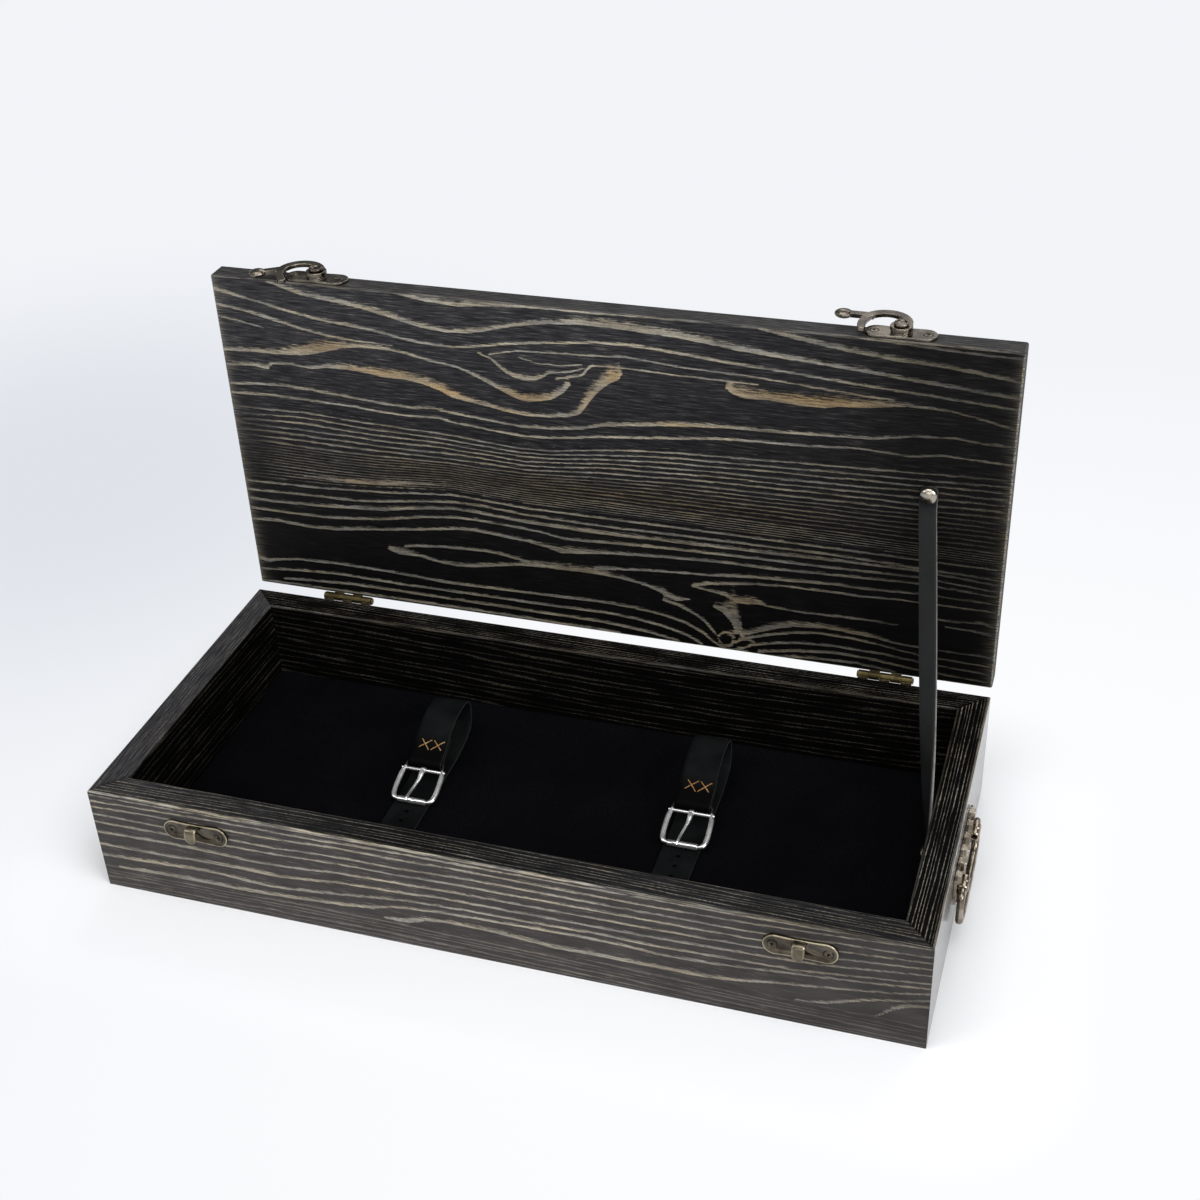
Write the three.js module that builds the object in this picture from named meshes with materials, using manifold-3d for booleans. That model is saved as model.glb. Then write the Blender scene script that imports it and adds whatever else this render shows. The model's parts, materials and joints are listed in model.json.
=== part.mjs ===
// A low wooden display case for a knife: mitred boards, a hinged lid that stands open on a leather stay,
// a felt lining with two buckled hold-down straps, hook latches, and a bail handle on each end.
// Millimetres, +Z up, +X to the right end, +Y to the hinge side. The origin is on the underside, at its centre.

import * as THREE from 'three';
import { mergeVertices } from 'three/addons/utils/BufferGeometryUtils.js';
import { RoundedBoxGeometry } from 'three/addons/geometries/RoundedBoxGeometry.js';
import Module from 'manifold-3d';

const wasm = await Module();
wasm.setup();

// Case and lid
const caseLength = 500;
const caseDepth = 226.5;
const caseHeight = 73;
const boardThickness = 18;
const lidThickness = 15;
const lidGap = 1;
const lidOpenAngle = Math.PI / 2;
const bottomThickness = 14;
const rebateDepth = 9;
const feltThickness = 5.7;
const edgeRadius = 1.4;
const mitreGap = 0.1;
const seatGap = 0.3;
const runningGap = 0.3;
const overrun = 1;

// Butt hinges on the back
const hingeLength = 34;
const hingePlaceShare = 0.368;
const leafThickness = 1.2;
const leafHeight = 13.5;
const knuckleRadius = 2.7;
const knuckleCount = 5;
const hingePinRadius = 1.2;
const hingePinHeadRadius = 2.1;
const hingePinHeadHeight = 0.8;
const hingeScrewShare = 0.62;

// Countersunk wood screws
const screwHeadRadius = 2.7;
const screwHeadDepth = 1;
const screwShankRadius = 1.1;
const screwLength = 7;

// Catch plates on the front board and latch bases on the lid's front edge
const latchPlaceShare = 0.36;
const latchPlateLength = 41.4;
const latchPlateHeight = 13.8;
const latchPlateWaist = 12.8;
const latchPlateThickness = 1.6;
const latchScrewSpacing = 30.6;
const plateBevel = 0.35;
const tongueWidth = 7.2;
const tongueHeight = 10.4;
const tongueThickness = 1.9;
const tongueCornerRadius = 2.2;
const tongueNeckHeight = 2.1;

// Latch hooks
const hookThickness = 2.6;
const hookDiscRadius = 6.5;
const hookBandInner = 20.2;
const hookBandOuter = 24.8;
const hookBandTipAngle = -15;
const hookBandRootAngle = 30;
const hookArchRadius = 12.8;
const hookArchWidth = 5.2;
const hookArchAcross = 9.5;
const hookArchUp = 3.5;
const hookArchEndAngle = 165;
const hookStemWidth = 4.2;
const thumbAcross = 34.8;
const thumbUp = 11.3;
const thumbLength = 11;
const thumbWidth = 9.4;
const thumbThickness = 5.2;
const latchBossRadius = 6;
const latchBossHeight = 1.4;
const rivetRadius = 2.1;
const rivetHeadRadius = 4.4;
const rivetHeadHeight = 1.8;
const rivetTopShare = 0.7;
const leftHookTurn = 32;

// Handles on the end boards
const handlePlateLength = 68;
const handlePlateHeight = 20;
const handlePlateThickness = 1.5;
const handleHeightShare = 0.56;
const handleScallopCount = 6;
const handleScallopDepth = 1.1;
const handleBeadLength = 7.4;
const handleBeadWidth = 4.6;
const handleBeadTopShare = 0.72;
const handleBeadHeight = 2;
const handleBeadInset = 3.2;
const handlePlateRise = 1.5;
const handleScrewShare = 0.324;
const bossShare = 0.688;
const bossLength = 10.8;
const bossRadius = 3.1;
const bossStandOff = 4.9;
const bossGrooveDepth = 0.6;
const bossGrooveWidth = 1.2;
const bossFootLengthShare = 0.7;
const bossFootHeightShare = 0.7;
const bailDrop = 22;
const bailLegShare = 1.044;
const bailWireRadius = 1.5;
const bailLegRadius = 2.1;
const bailGripRadius = 2.4;
const bailElbowRadius = 3.8;
const bailCornerRadius = 7.5;
const bailEndReach = 8;

// Leather stay strap and its studs
const stayWidth = 10.5;
const stayThickness = 1.9;
const stayPlaceShare = 0.406;
const stayReachShare = 0.596;
const stayLowerDepthShare = -0.044;
const stayLowerRiseShare = 0.49;
const stayFlatLength = 9;
const stayEndReach = 5.8;
const studHeadRadius = 5.3;
const studHeadHeight = 3;
const studPostRadius = 1.8;
const studPostLength = 6;
const stayTwistStartShare = 0.76;

// Hold-down straps
const strapWidth = 22.4;
const strapThickness = 2;
const strapPlaceShare = 0.174;
const leftStrapStart = 7.7;
const rightStrapStart = 11.2;
const loopLength = 53.7;
const loopRise = 28.3;
const tailLength = 66;
const foldBackLength = 19;
const foldMergeLength = 7;
const strapHoleRadius = 1.4;
const strapHolePitch = 9;
const strapHoleCount = 3;
const strapFirstHole = 33.8;

// The loop's centre line, from the buckle up over the back and down to the felt: shares of its length and rise
const loopShares = [
  [0, 0.52], [0.062, 0.56], [0.181, 0.645], [0.302, 0.774], [0.393, 0.868], [0.486, 0.936], [0.589, 0.985],
  [0.72, 1], [0.881, 0.975], [0.962, 0.894], [0.995, 0.75], [1, 0.555], [0.98, 0.36], [0.929, 0.208],
  [0.846, 0.124], [0.728, 0.07], [0.581, 0.021], [0.453, 0], [0.18, 0],
];

// Buckles
const frameLength = 28.2;
const heelBarRadius = 1.1;
const sideBarHalfWidth = 1.45;
const sideBarHalfThickness = 1;
const frameSideGap = 0.8;
const frameShift = 0.5;
const frameFrontRadius = 2.6;
const frameHeelRadius = 1.8;
const prongBarRadius = 0.8;
const rollerRadius = 1.9;
const rollerEndGap = 0.4;
const prongCoilWall = 0.8;
const prongWidth = 3.2;
const prongTipWidth = 1.8;
const prongThickness = 1.5;
const prongOverhang = 2.4;
const prongNarrowingShares = [0.4, 0.75];

// The prong's line from its coil to its tip: shares of the way to the roller, and of the coil's height
const prongLineShares = [[0.22, 1], [0.5, 0.8], [0.72, 1.1]];

// Faces round the curved pieces
const roundSides = 16;
const wireSides = 8;
const cornerSteps = 4;
const stayStraightSteps = 24;

// Finishes
const finish = (color, roughness, metalness) => new THREE.MeshStandardMaterial({ color, roughness, metalness });
const darkWood = finish(0x2c2825, 0.62, 0);
const felt = finish(0x14151a, 0.95, 0);
const leather = finish(0x17181b, 0.5, 0);
const agedBronze = finish(0x6d6650, 0.4, 0.9);
const copperBronze = finish(0x5f5246, 0.4, 0.9);
const agedBrass = finish(0x9a8248, 0.35, 0.95);
const chromePlate = finish(0xd8d8d6, 0.14, 1);

// Heights and places worked out from the sizes above
const halfLength = caseLength / 2;
const halfDepth = caseDepth / 2;
const feltTop = bottomThickness + seatGap + feltThickness;
const lidUnderside = caseHeight + lidGap;
const lidMiddle = lidUnderside + lidThickness / 2;
const hingeAxisY = halfDepth + seatGap + leafThickness + knuckleRadius - leafThickness / 4;
const hingeAxisZ = caseHeight + lidGap / 2;
const hingeX = hingePlaceShare * caseLength;
const latchX = latchPlaceShare * caseLength;
const sides = [['left', -1], ['right', 1]];

const model = new THREE.Group();
const lid = new THREE.Group();
lid.position.set(0, hingeAxisY, hingeAxisZ);
lid.rotation.x = -lidOpenAngle;
model.add(lid);
// Pieces of the lid are written where they are with the lid shut
const shutLid = new THREE.Group();
shutLid.position.set(0, -hingeAxisY, -hingeAxisZ);
lid.add(shutLid);

// Closed solids for joining and cutting
function toSolid(geometry) {
  const bare = geometry.clone();
  for (const name of Object.keys(bare.attributes)) {
    if (name !== 'position') bare.deleteAttribute(name);
  }
  const merged = mergeVertices(bare);
  const mesh = new wasm.Mesh({
    numProp: 3,
    vertProperties: new Float32Array(merged.attributes.position.array),
    triVerts: new Uint32Array(merged.index.array),
  });
  return new wasm.Manifold(mesh);
}

function toGeometry(solid) {
  const mesh = solid.getMesh();
  const geometry = new THREE.BufferGeometry();
  geometry.setAttribute('position', new THREE.BufferAttribute(new Float32Array(mesh.vertProperties), 3));
  geometry.setIndex(new THREE.BufferAttribute(new Uint32Array(mesh.triVerts), 1));
  return geometry;
}

function join(...geometries) {
  return toGeometry(geometries.map(toSolid).reduce((whole, piece) => whole.add(piece)));
}

function cut(geometry, cutters) {
  return toGeometry(cutters.map(toSolid).reduce((whole, cutter) => whole.subtract(cutter), toSolid(geometry)));
}

function addPiece(group, name, geometry, material) {
  geometry.computeVertexNormals();
  const mesh = new THREE.Mesh(geometry, material);
  mesh.name = name;
  group.add(mesh);
  return mesh;
}

// Turns geometry faces out if they were wound the other way
function facingOut(geometry) {
  const p = geometry.attributes.position;
  const index = geometry.index.array;
  const corners = [new THREE.Vector3(), new THREE.Vector3(), new THREE.Vector3()];
  let volume = 0;
  for (let i = 0; i < index.length; i += 3) {
    corners.forEach((corner, k) => corner.fromBufferAttribute(p, index[i + k]));
    volume += corners[0].dot(corners[1].clone().cross(corners[2]));
  }
  if (volume < 0) {
    for (let i = 0; i < index.length; i += 3) [index[i + 1], index[i + 2]] = [index[i + 2], index[i + 1]];
  }
  return geometry;
}

// Skins a row of section rings into one closed body; a closed path joins its last ring to its first
function skinRings(rings, closedPath) {
  const count = rings[0].length;
  const positions = rings.flat().flatMap((point) => point.toArray());
  const index = [];
  const last = closedPath ? rings.length : rings.length - 1;
  for (let i = 0; i < last; i += 1) {
    const next = (i + 1) % rings.length;
    for (let j = 0; j < count; j += 1) {
      const k = (j + 1) % count;
      index.push(i * count + j, i * count + k, next * count + k);
      index.push(i * count + j, next * count + k, next * count + j);
    }
  }
  if (!closedPath) {
    const cap = capTriangles(rings[0]);
    const lastStart = (rings.length - 1) * count;
    for (const [a, b, c] of cap) {
      index.push(a, c, b);
      index.push(lastStart + a, lastStart + b, lastStart + c);
    }
  }
  const geometry = new THREE.BufferGeometry();
  geometry.setAttribute('position', new THREE.Float32BufferAttribute(positions, 3));
  geometry.setIndex(index);
  return facingOut(geometry);
}

function capTriangles(ring) {
  const across = ring[1].clone().sub(ring[0]).normalize();
  const normal = new THREE.Vector3();
  for (let i = 0; i < ring.length; i += 1) {
    normal.add(ring[i].clone().sub(ring[0]).cross(ring[(i + 1) % ring.length].clone().sub(ring[0])));
  }
  normal.normalize();
  const up = normal.clone().cross(across);
  const flat = ring.map((point) => new THREE.Vector2(point.dot(across), point.dot(up)));
  return THREE.ShapeUtils.triangulateShape(flat, []);
}

// A polyline with its corners rounded by arcs, as points
function roundedPath(points, radii, closed = false) {
  const path = [];
  points.forEach((corner, i) => {
    const radius = radii[i];
    const before = points[(i - 1 + points.length) % points.length];
    const after = points[(i + 1) % points.length];
    if (!radius || (!closed && (i === 0 || i === points.length - 1))) {
      path.push(corner.clone());
      return;
    }
    const into = before.clone().sub(corner).normalize();
    const out = after.clone().sub(corner).normalize();
    const half = into.angleTo(out) / 2;
    const reach = radius / Math.tan(half);
    const centre = corner.clone().addScaledVector(into.clone().add(out).normalize(), radius / Math.sin(half));
    const start = corner.clone().addScaledVector(into, reach).sub(centre);
    const end = corner.clone().addScaledVector(out, reach).sub(centre);
    const axis = start.clone().cross(end).normalize();
    const turn = start.angleTo(end);
    for (let step = 0; step <= cornerSteps; step += 1) {
      path.push(start.clone().applyAxisAngle(axis, (turn * step) / cornerSteps).add(centre));
    }
  });
  return path;
}

// A bar of oval section along a path that lies in one plane; halfSizes gives its two half sizes at each point
function sweepBar(path, planeNormal, halfSizes, closed = false) {
  const rings = path.map((point, i) => {
    const before = closed ? path[(i - 1 + path.length) % path.length] : path[Math.max(i - 1, 0)];
    const after = closed ? path[(i + 1) % path.length] : path[Math.min(i + 1, path.length - 1)];
    const along = after.clone().sub(before).normalize();
    const across = planeNormal.clone().cross(along).normalize();
    const [inPlane, offPlane] = halfSizes(point, i);
    return Array.from({ length: wireSides }, (_, j) => {
      const angle = ((j + 0.5) / wireSides) * 2 * Math.PI;
      return point.clone()
        .addScaledVector(across, Math.cos(angle) * inPlane)
        .addScaledVector(planeNormal, Math.sin(angle) * offPlane);
    });
  });
  return skinRings(rings, closed);
}

// A turned piece: profile of [radius, height] pairs, with its axis along +Z
function turned(profile, count = roundSides) {
  const points = profile.map(([radius, height]) => new THREE.Vector2(radius, height));
  return new THREE.LatheGeometry(points, count).rotateX(Math.PI / 2);
}

function rod(radius, length, count = roundSides) {
  return turned([[0, 0], [radius, 0], [radius, length], [0, length]], count);
}

function block(width, depth, height) {
  return new THREE.BoxGeometry(width, depth, height);
}

// A flat plate standing off a face that looks along -Y: the shape's x and y become X and Z
function frontPlate(shape, thickness, bevel = 0) {
  const depth = thickness - 2 * bevel;
  const geometry = new THREE.ExtrudeGeometry(shape, {
    depth,
    curveSegments: cornerSteps * 2,
    bevelEnabled: bevel > 0,
    bevelSize: bevel,
    bevelThickness: bevel,
    bevelOffset: -bevel,
    bevelSegments: 1,
  });
  return geometry.translate(0, 0, bevel).rotateX(Math.PI / 2);
}

// Wood screw, head up along +Z with its face at height 0; extra is the room that its hole leaves round it
function screw(extra = 0) {
  const head = screwHeadRadius + extra;
  const shank = screwShankRadius + extra;
  const length = screwLength + extra;
  const top = extra > 0 ? [[head, overrun], [0, overrun]] : [[0, 0]];
  return turned([
    [0, -length], [shank, -length + shank], [shank, -screwHeadDepth - extra], [head, 0], ...top,
  ], wireSides + cornerSteps);
}

// Screws and their holes are placed by the face that they enter: its outward direction and a point on it
function aim(geometry, direction, x, y, z) {
  const turn = new THREE.Quaternion().setFromUnitVectors(new THREE.Vector3(0, 0, 1), direction);
  return geometry.applyQuaternion(turn).translate(x, y, z);
}

const front = new THREE.Vector3(0, -1, 0);
const back = new THREE.Vector3(0, 1, 0);
const right = new THREE.Vector3(1, 0, 0);
const inward = new THREE.Vector3(-1, 0, 0);

// Where every screw goes, with the lid shut; the boards, leaves and plates are drilled from the same list
const screwPlaces = [];
const hingeScrewX = (hingeLength / 2) * hingeScrewShare;
const hingeScrewZ = (leafHeight + knuckleRadius) / 2;
const leafFace = halfDepth + seatGap + leafThickness;
const latchFace = -halfDepth - seatGap - latchPlateThickness;
const catchNeckDrop = Math.sqrt((hookBandInner - runningGap) ** 2 - (tongueWidth / 2) ** 2);
const catchNeckUnderside = lidMiddle - catchNeckDrop;
const catchMiddle = catchNeckUnderside + tongueNeckHeight - latchPlateHeight / 2;
const handleZ = handleHeightShare * caseHeight;
const handleFace = halfLength + seatGap + handlePlateThickness;
for (const [side, sign] of sides) {
  [-1, 1].forEach((across, i) => {
    const place = (name, holder, direction, x, y, z) => screwPlaces.push({
      name: `${name}_${side}_${i + 1}`, side, holder, direction, x, y, z,
    });
    const leafX = sign * hingeX + across * hingeScrewX;
    const latchScrewX = sign * latchX + (across * latchScrewSpacing) / 2;
    place('hinge_case_screw', 'back_board', back, leafX, leafFace, hingeAxisZ - hingeScrewZ);
    place('hinge_lid_screw', 'lid_panel', back, leafX, leafFace, hingeAxisZ + hingeScrewZ);
    place('catch_screw', 'front_board', front, latchScrewX, latchFace, catchMiddle);
    place('latch_screw', 'lid_panel', front, latchScrewX, latchFace, lidMiddle);
    place('handle_screw', `${side}_end_board`, sign > 0 ? right : inward, sign * handleFace,
      (across * handlePlateLength * handleScrewShare) / 2, handleZ + handlePlateRise);
  });
}

function screwHoles(holder, names) {
  return screwPlaces
    .filter((place) => (holder ? place.holder === holder : names.some((name) => place.name.startsWith(name))))
    .map((place) => aim(screw(seatGap), place.direction, place.x, place.y, place.z));
}

for (const place of screwPlaces) {
  const group = place.holder === 'lid_panel' ? shutLid : model;
  const material = place.name.startsWith('hinge') ? agedBrass : agedBronze;
  const depthBelowFace = place.direction.clone().multiplyScalar(-seatGap / 2);
  const geometry = aim(screw(), place.direction, place.x, place.y, place.z).translate(...depthBelowFace.toArray());
  addPiece(group, place.name, geometry, material);
}

// Mitred board: its section, as [distance in from the outer face, height], runs along X with 45 degree ends
function boardSection() {
  const arc = (centreX, centreZ, fromAngle) => Array.from({ length: cornerSteps + 1 }, (_, i) => {
    const angle = fromAngle - (i / cornerSteps) * (Math.PI / 2);
    return [centreX + edgeRadius * Math.cos(angle), centreZ + edgeRadius * Math.sin(angle)];
  });
  return [
    [0, 0],
    ...arc(edgeRadius, caseHeight - edgeRadius, Math.PI),
    ...arc(boardThickness - edgeRadius, caseHeight - edgeRadius, Math.PI / 2),
    [boardThickness, bottomThickness + seatGap],
    [boardThickness - rebateDepth, bottomThickness + seatGap],
    [boardThickness - rebateDepth, 0],
  ];
}

function mitredBoard(length, outerFace) {
  const rings = [-1, 1].map((end) => boardSection().map(([inFromFace, height]) => (
    new THREE.Vector3(end * (length / 2 - inFromFace - mitreGap), -outerFace + inFromFace, height)
  )));
  return skinRings(rings, false);
}

const boards = [
  ['front_board', caseLength, halfDepth, 0],
  ['right_end_board', caseDepth, halfLength, Math.PI / 2],
  ['back_board', caseLength, halfDepth, Math.PI],
  ['left_end_board', caseDepth, halfLength, -Math.PI / 2],
];
const stayStudX = stayPlaceShare * caseLength;
const stayUpperY = hingeAxisY - stayReachShare * caseDepth;
const stayLowerY = stayLowerDepthShare * caseDepth;
const stayLowerZ = feltTop + stayLowerRiseShare * (caseHeight - feltTop);
const wallFace = halfLength - boardThickness;
// A turned post with a domed head; it stands off its face by the strap that it holds
function stud(extra = 0) {
  const headStart = stayThickness + 2 * seatGap;
  const post = studPostRadius + extra;
  const dome = Array.from({ length: cornerSteps + 1 }, (_, i) => {
    const angle = (i / cornerSteps) * (Math.PI / 2);
    return [studHeadRadius * Math.cos(angle), headStart + studHeadHeight * Math.sin(angle)];
  });
  const head = extra > 0 ? [[post, headStart], [0, headStart]] : [[post, headStart], ...dome];
  return turned([[0, -studPostLength - extra], [post, -studPostLength - extra], ...head]);
}
const lowerStudAt = (geometry) => aim(geometry, inward, wallFace, stayLowerY, stayLowerZ);
const upperStudAt = (geometry) => aim(geometry, new THREE.Vector3(0, 0, -1), stayStudX, stayUpperY, lidUnderside);
for (const [name, length, outerFace, turn] of boards) {
  const cutters = screwHoles(name);
  if (name === 'right_end_board') cutters.push(lowerStudAt(stud(seatGap)));
  const plain = mitredBoard(length, outerFace).rotateZ(turn);
  addPiece(model, name, cutters.length ? cut(plain, cutters) : plain, darkWood);
}

const panelRoom = boardThickness - rebateDepth + seatGap;
addPiece(model, 'bottom_panel', block(
  caseLength - 2 * panelRoom,
  caseDepth - 2 * panelRoom,
  bottomThickness,
).translate(0, 0, bottomThickness / 2), darkWood);
addPiece(model, 'felt_lining', block(
  caseLength - 2 * (boardThickness + seatGap),
  caseDepth - 2 * (boardThickness + seatGap),
  feltThickness,
).translate(0, 0, feltTop - feltThickness / 2), felt);

const lidBlank = new RoundedBoxGeometry(caseLength, caseDepth, lidThickness, 2, edgeRadius);
lidBlank.translate(0, 0, lidMiddle);
addPiece(shutLid, 'lid_panel', cut(lidBlank, [...screwHoles('lid_panel'), upperStudAt(stud(seatGap))]), darkWood);

// Hinges: the case leaf holds the odd knuckles and the lid leaf the even ones
function hingeLeaf(side, sign, onLid) {
  const up = onLid ? 1 : -1;
  const step = hingeLength / knuckleCount;
  const barrel = knuckleRadius + runningGap;
  const plateY = halfDepth + seatGap + leafThickness / 2;
  const plateHeight = leafHeight - barrel;
  const plate = block(hingeLength, leafThickness, plateHeight);
  plate.translate(sign * hingeX, plateY, hingeAxisZ + up * (barrel + plateHeight / 2));
  const knuckles = [];
  for (let i = onLid ? 1 : 0; i < knuckleCount; i += 2) {
    const x = sign * hingeX - hingeLength / 2 + (i + 0.5) * step;
    const width = step - runningGap;
    const tab = block(width, leafThickness, barrel + overrun);
    knuckles.push(tab.translate(x, plateY, hingeAxisZ + up * ((barrel + overrun) / 2)));
    knuckles.push(aim(rod(knuckleRadius, width), right, x - width / 2, hingeAxisY, hingeAxisZ));
  }
  const bore = rod(hingePinRadius + runningGap, hingeLength + 2 * overrun);
  const boreCutter = aim(bore, right, sign * hingeX - hingeLength / 2 - overrun, hingeAxisY, hingeAxisZ);
  const holes = screwHoles(null, [`hinge_${onLid ? 'lid' : 'case'}_screw_${side}`]);
  return cut(join(plate, ...knuckles), [boreCutter, ...holes]);
}

function hingePin(sign) {
  const reach = hingeLength / 2 + seatGap;
  const tip = reach + hingePinHeadHeight;
  const pin = turned([
    [0, -tip], [hingePinHeadRadius, -reach - hingePinHeadHeight / 2], [hingePinHeadRadius, -reach],
    [hingePinRadius, -reach], [hingePinRadius, reach], [hingePinHeadRadius, reach],
    [hingePinHeadRadius, reach + hingePinHeadHeight / 2], [0, tip],
  ]);
  return aim(pin, right, sign * hingeX, hingeAxisY, hingeAxisZ);
}

for (const [side, sign] of sides) {
  addPiece(model, `hinge_case_leaf_${side}`, hingeLeaf(side, sign, false), agedBrass);
  addPiece(shutLid, `hinge_lid_leaf_${side}`, hingeLeaf(side, sign, true), agedBrass);
  addPiece(model, `hinge_pin_${side}`, hingePin(sign), agedBrass);
}

// Outline shared by the catch plates and the latch bases: two round lobes with a slight waist
function latchPlateShape() {
  const radius = latchPlateHeight / 2;
  const lobe = latchPlateLength / 2 - radius;
  const waist = latchPlateWaist / 2;
  const shape = new THREE.Shape();
  shape.moveTo(-lobe, -radius);
  shape.bezierCurveTo(-lobe / 2, -radius, -lobe / 2, -waist, 0, -waist);
  shape.bezierCurveTo(lobe / 2, -waist, lobe / 2, -radius, lobe, -radius);
  shape.absarc(lobe, 0, radius, -Math.PI / 2, Math.PI / 2, false);
  shape.bezierCurveTo(lobe / 2, radius, lobe / 2, waist, 0, waist);
  shape.bezierCurveTo(-lobe / 2, waist, -lobe / 2, radius, -lobe, radius);
  shape.absarc(-lobe, 0, radius, Math.PI / 2, (3 * Math.PI) / 2, false);
  return shape;
}

// The hook turns in a plane this far in front of the case's face
const hookBack = seatGap + latchPlateThickness + latchBossHeight + runningGap;
const hookFront = hookBack + hookThickness;

// Catch plate with a neck at its top that turns down into a tongue; the hook's band slides in behind it
function catchPlate(side, sign) {
  const plate = frontPlate(latchPlateShape(), latchPlateThickness, plateBevel);
  plate.translate(0, -halfDepth - seatGap, catchMiddle);
  const tongueFront = hookFront + runningGap + tongueThickness;
  const neck = block(tongueWidth, tongueFront - seatGap - latchPlateThickness / 2, tongueNeckHeight);
  neck.translate(0, -halfDepth - (tongueFront + seatGap + latchPlateThickness / 2) / 2,
    catchNeckUnderside + tongueNeckHeight / 2);
  const half = tongueWidth / 2;
  const shape = new THREE.Shape();
  const low = -tongueHeight + tongueCornerRadius;
  shape.moveTo(-half, 0);
  shape.lineTo(-half, low);
  shape.absarc(-half + tongueCornerRadius, low, tongueCornerRadius, Math.PI, (3 * Math.PI) / 2, false);
  shape.absarc(half - tongueCornerRadius, low, tongueCornerRadius, (3 * Math.PI) / 2, 2 * Math.PI, false);
  shape.lineTo(half, 0);
  const tongue = frontPlate(shape, tongueThickness);
  tongue.translate(0, -halfDepth - hookFront - runningGap, catchNeckUnderside + tongueNeckHeight);
  const whole = join(plate, neck, tongue).translate(sign * latchX, 0, 0);
  return cut(whole, screwHoles(null, [`catch_screw_${side}`]));
}

function latchBase(side, sign) {
  const plate = frontPlate(latchPlateShape(), latchPlateThickness, plateBevel);
  const boss = aim(rod(latchBossRadius, latchBossHeight + latchPlateThickness), front, 0, 0, 0);
  const whole = join(plate, boss).translate(sign * latchX, -halfDepth - seatGap, lidMiddle);
  const bore = aim(rod(rivetRadius + seatGap, hookBack + overrun), front, sign * latchX, -halfDepth, lidMiddle);
  return cut(whole, [bore, ...screwHoles(null, [`latch_screw_${side}`])]);
}

function latchRivet(sign) {
  const headStart = hookFront + runningGap;
  const headTop = headStart + rivetHeadHeight;
  const rivet = turned([
    [0, 2 * seatGap], [rivetRadius, 2 * seatGap], [rivetRadius, headStart], [rivetHeadRadius, headStart],
    [rivetHeadRadius, headStart + rivetHeadHeight / 2], [rivetHeadRadius * rivetTopShare, headTop], [0, headTop],
  ]);
  return aim(rivet, front, sign * latchX, -halfDepth, lidMiddle);
}

// Hook outline round its pivot, drawn pointing to -X: angles are measured from there towards +Z
const radians = THREE.MathUtils.degToRad;
function ringSector(inner, outer, fromAngle, toAngle) {
  const shape = new THREE.Shape();
  shape.absarc(0, 0, outer, Math.PI - radians(fromAngle), Math.PI - radians(toAngle), true);
  shape.absarc(0, 0, inner, Math.PI - radians(toAngle), Math.PI - radians(fromAngle), false);
  return shape;
}

function latchHook() {
  const disc = new THREE.Shape().absarc(0, 0, hookDiscRadius, 0, 2 * Math.PI, false);
  const arch = ringSector(hookArchRadius - hookArchWidth / 2, hookArchRadius + hookArchWidth / 2,
    180 - hookArchEndAngle, 180);
  const band = ringSector(hookBandInner, hookBandOuter, hookBandTipAngle, hookBandRootAngle);
  const tipMiddle = (hookBandInner + hookBandOuter) / 2;
  const tipAngle = Math.PI - radians(hookBandTipAngle);
  const tip = new THREE.Shape();
  tip.absarc(Math.cos(tipAngle) * tipMiddle, Math.sin(tipAngle) * tipMiddle,
    (hookBandOuter - hookBandInner) / 2, 0, 2 * Math.PI, false);
  const rootAngle = Math.PI - radians(hookBandRootAngle);
  const rootX = Math.cos(rootAngle) * tipMiddle;
  const rootZ = Math.sin(rootAngle) * tipMiddle;
  const stemLength = thumbAcross + rootX;
  const stem = block(stemLength + hookStemWidth, hookThickness, hookStemWidth);
  stem.rotateY(-Math.atan2(thumbUp - rootZ, -stemLength)).rotateY(Math.PI);
  stem.translate((rootX - thumbAcross) / 2, -hookThickness / 2, (rootZ + thumbUp) / 2);
  const archPlate = frontPlate(arch, hookThickness, plateBevel).translate(-hookArchAcross, 0, hookArchUp);
  const thumb = new THREE.SphereGeometry(1, roundSides, wireSides);
  thumb.scale(thumbLength / 2, thumbThickness / 2, thumbWidth / 2);
  thumb.translate(-thumbAcross, -hookThickness / 2, thumbUp);
  const whole = join(
    frontPlate(disc, hookThickness, plateBevel),
    archPlate,
    frontPlate(band, hookThickness, plateBevel),
    frontPlate(tip, hookThickness, plateBevel),
    stem,
    thumb,
  );
  const bore = aim(rod(rivetRadius + runningGap, hookThickness + 2 * overrun), front, 0, overrun, 0);
  return cut(whole, [bore]);
}

for (const [side, sign] of sides) {
  addPiece(model, `catch_plate_${side}`, catchPlate(side, sign), agedBronze);
  addPiece(shutLid, `latch_base_${side}`, latchBase(side, sign), agedBronze);
  addPiece(shutLid, `latch_rivet_${side}`, latchRivet(sign), agedBronze);
  const hook = addPiece(shutLid, `latch_hook_${side}`, latchHook(), agedBronze);
  hook.position.set(sign * latchX, -halfDepth - hookBack, lidMiddle);
  hook.rotation.y = sign < 0 ? -radians(leftHookTurn) : 0;
}

// Stay: studs in the lid and in the right end board, and the strap between them
addPiece(shutLid, 'stay_upper_stud', upperStudAt(stud()), agedBrass);
addPiece(model, 'stay_lower_stud', lowerStudAt(stud()), agedBrass);

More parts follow.
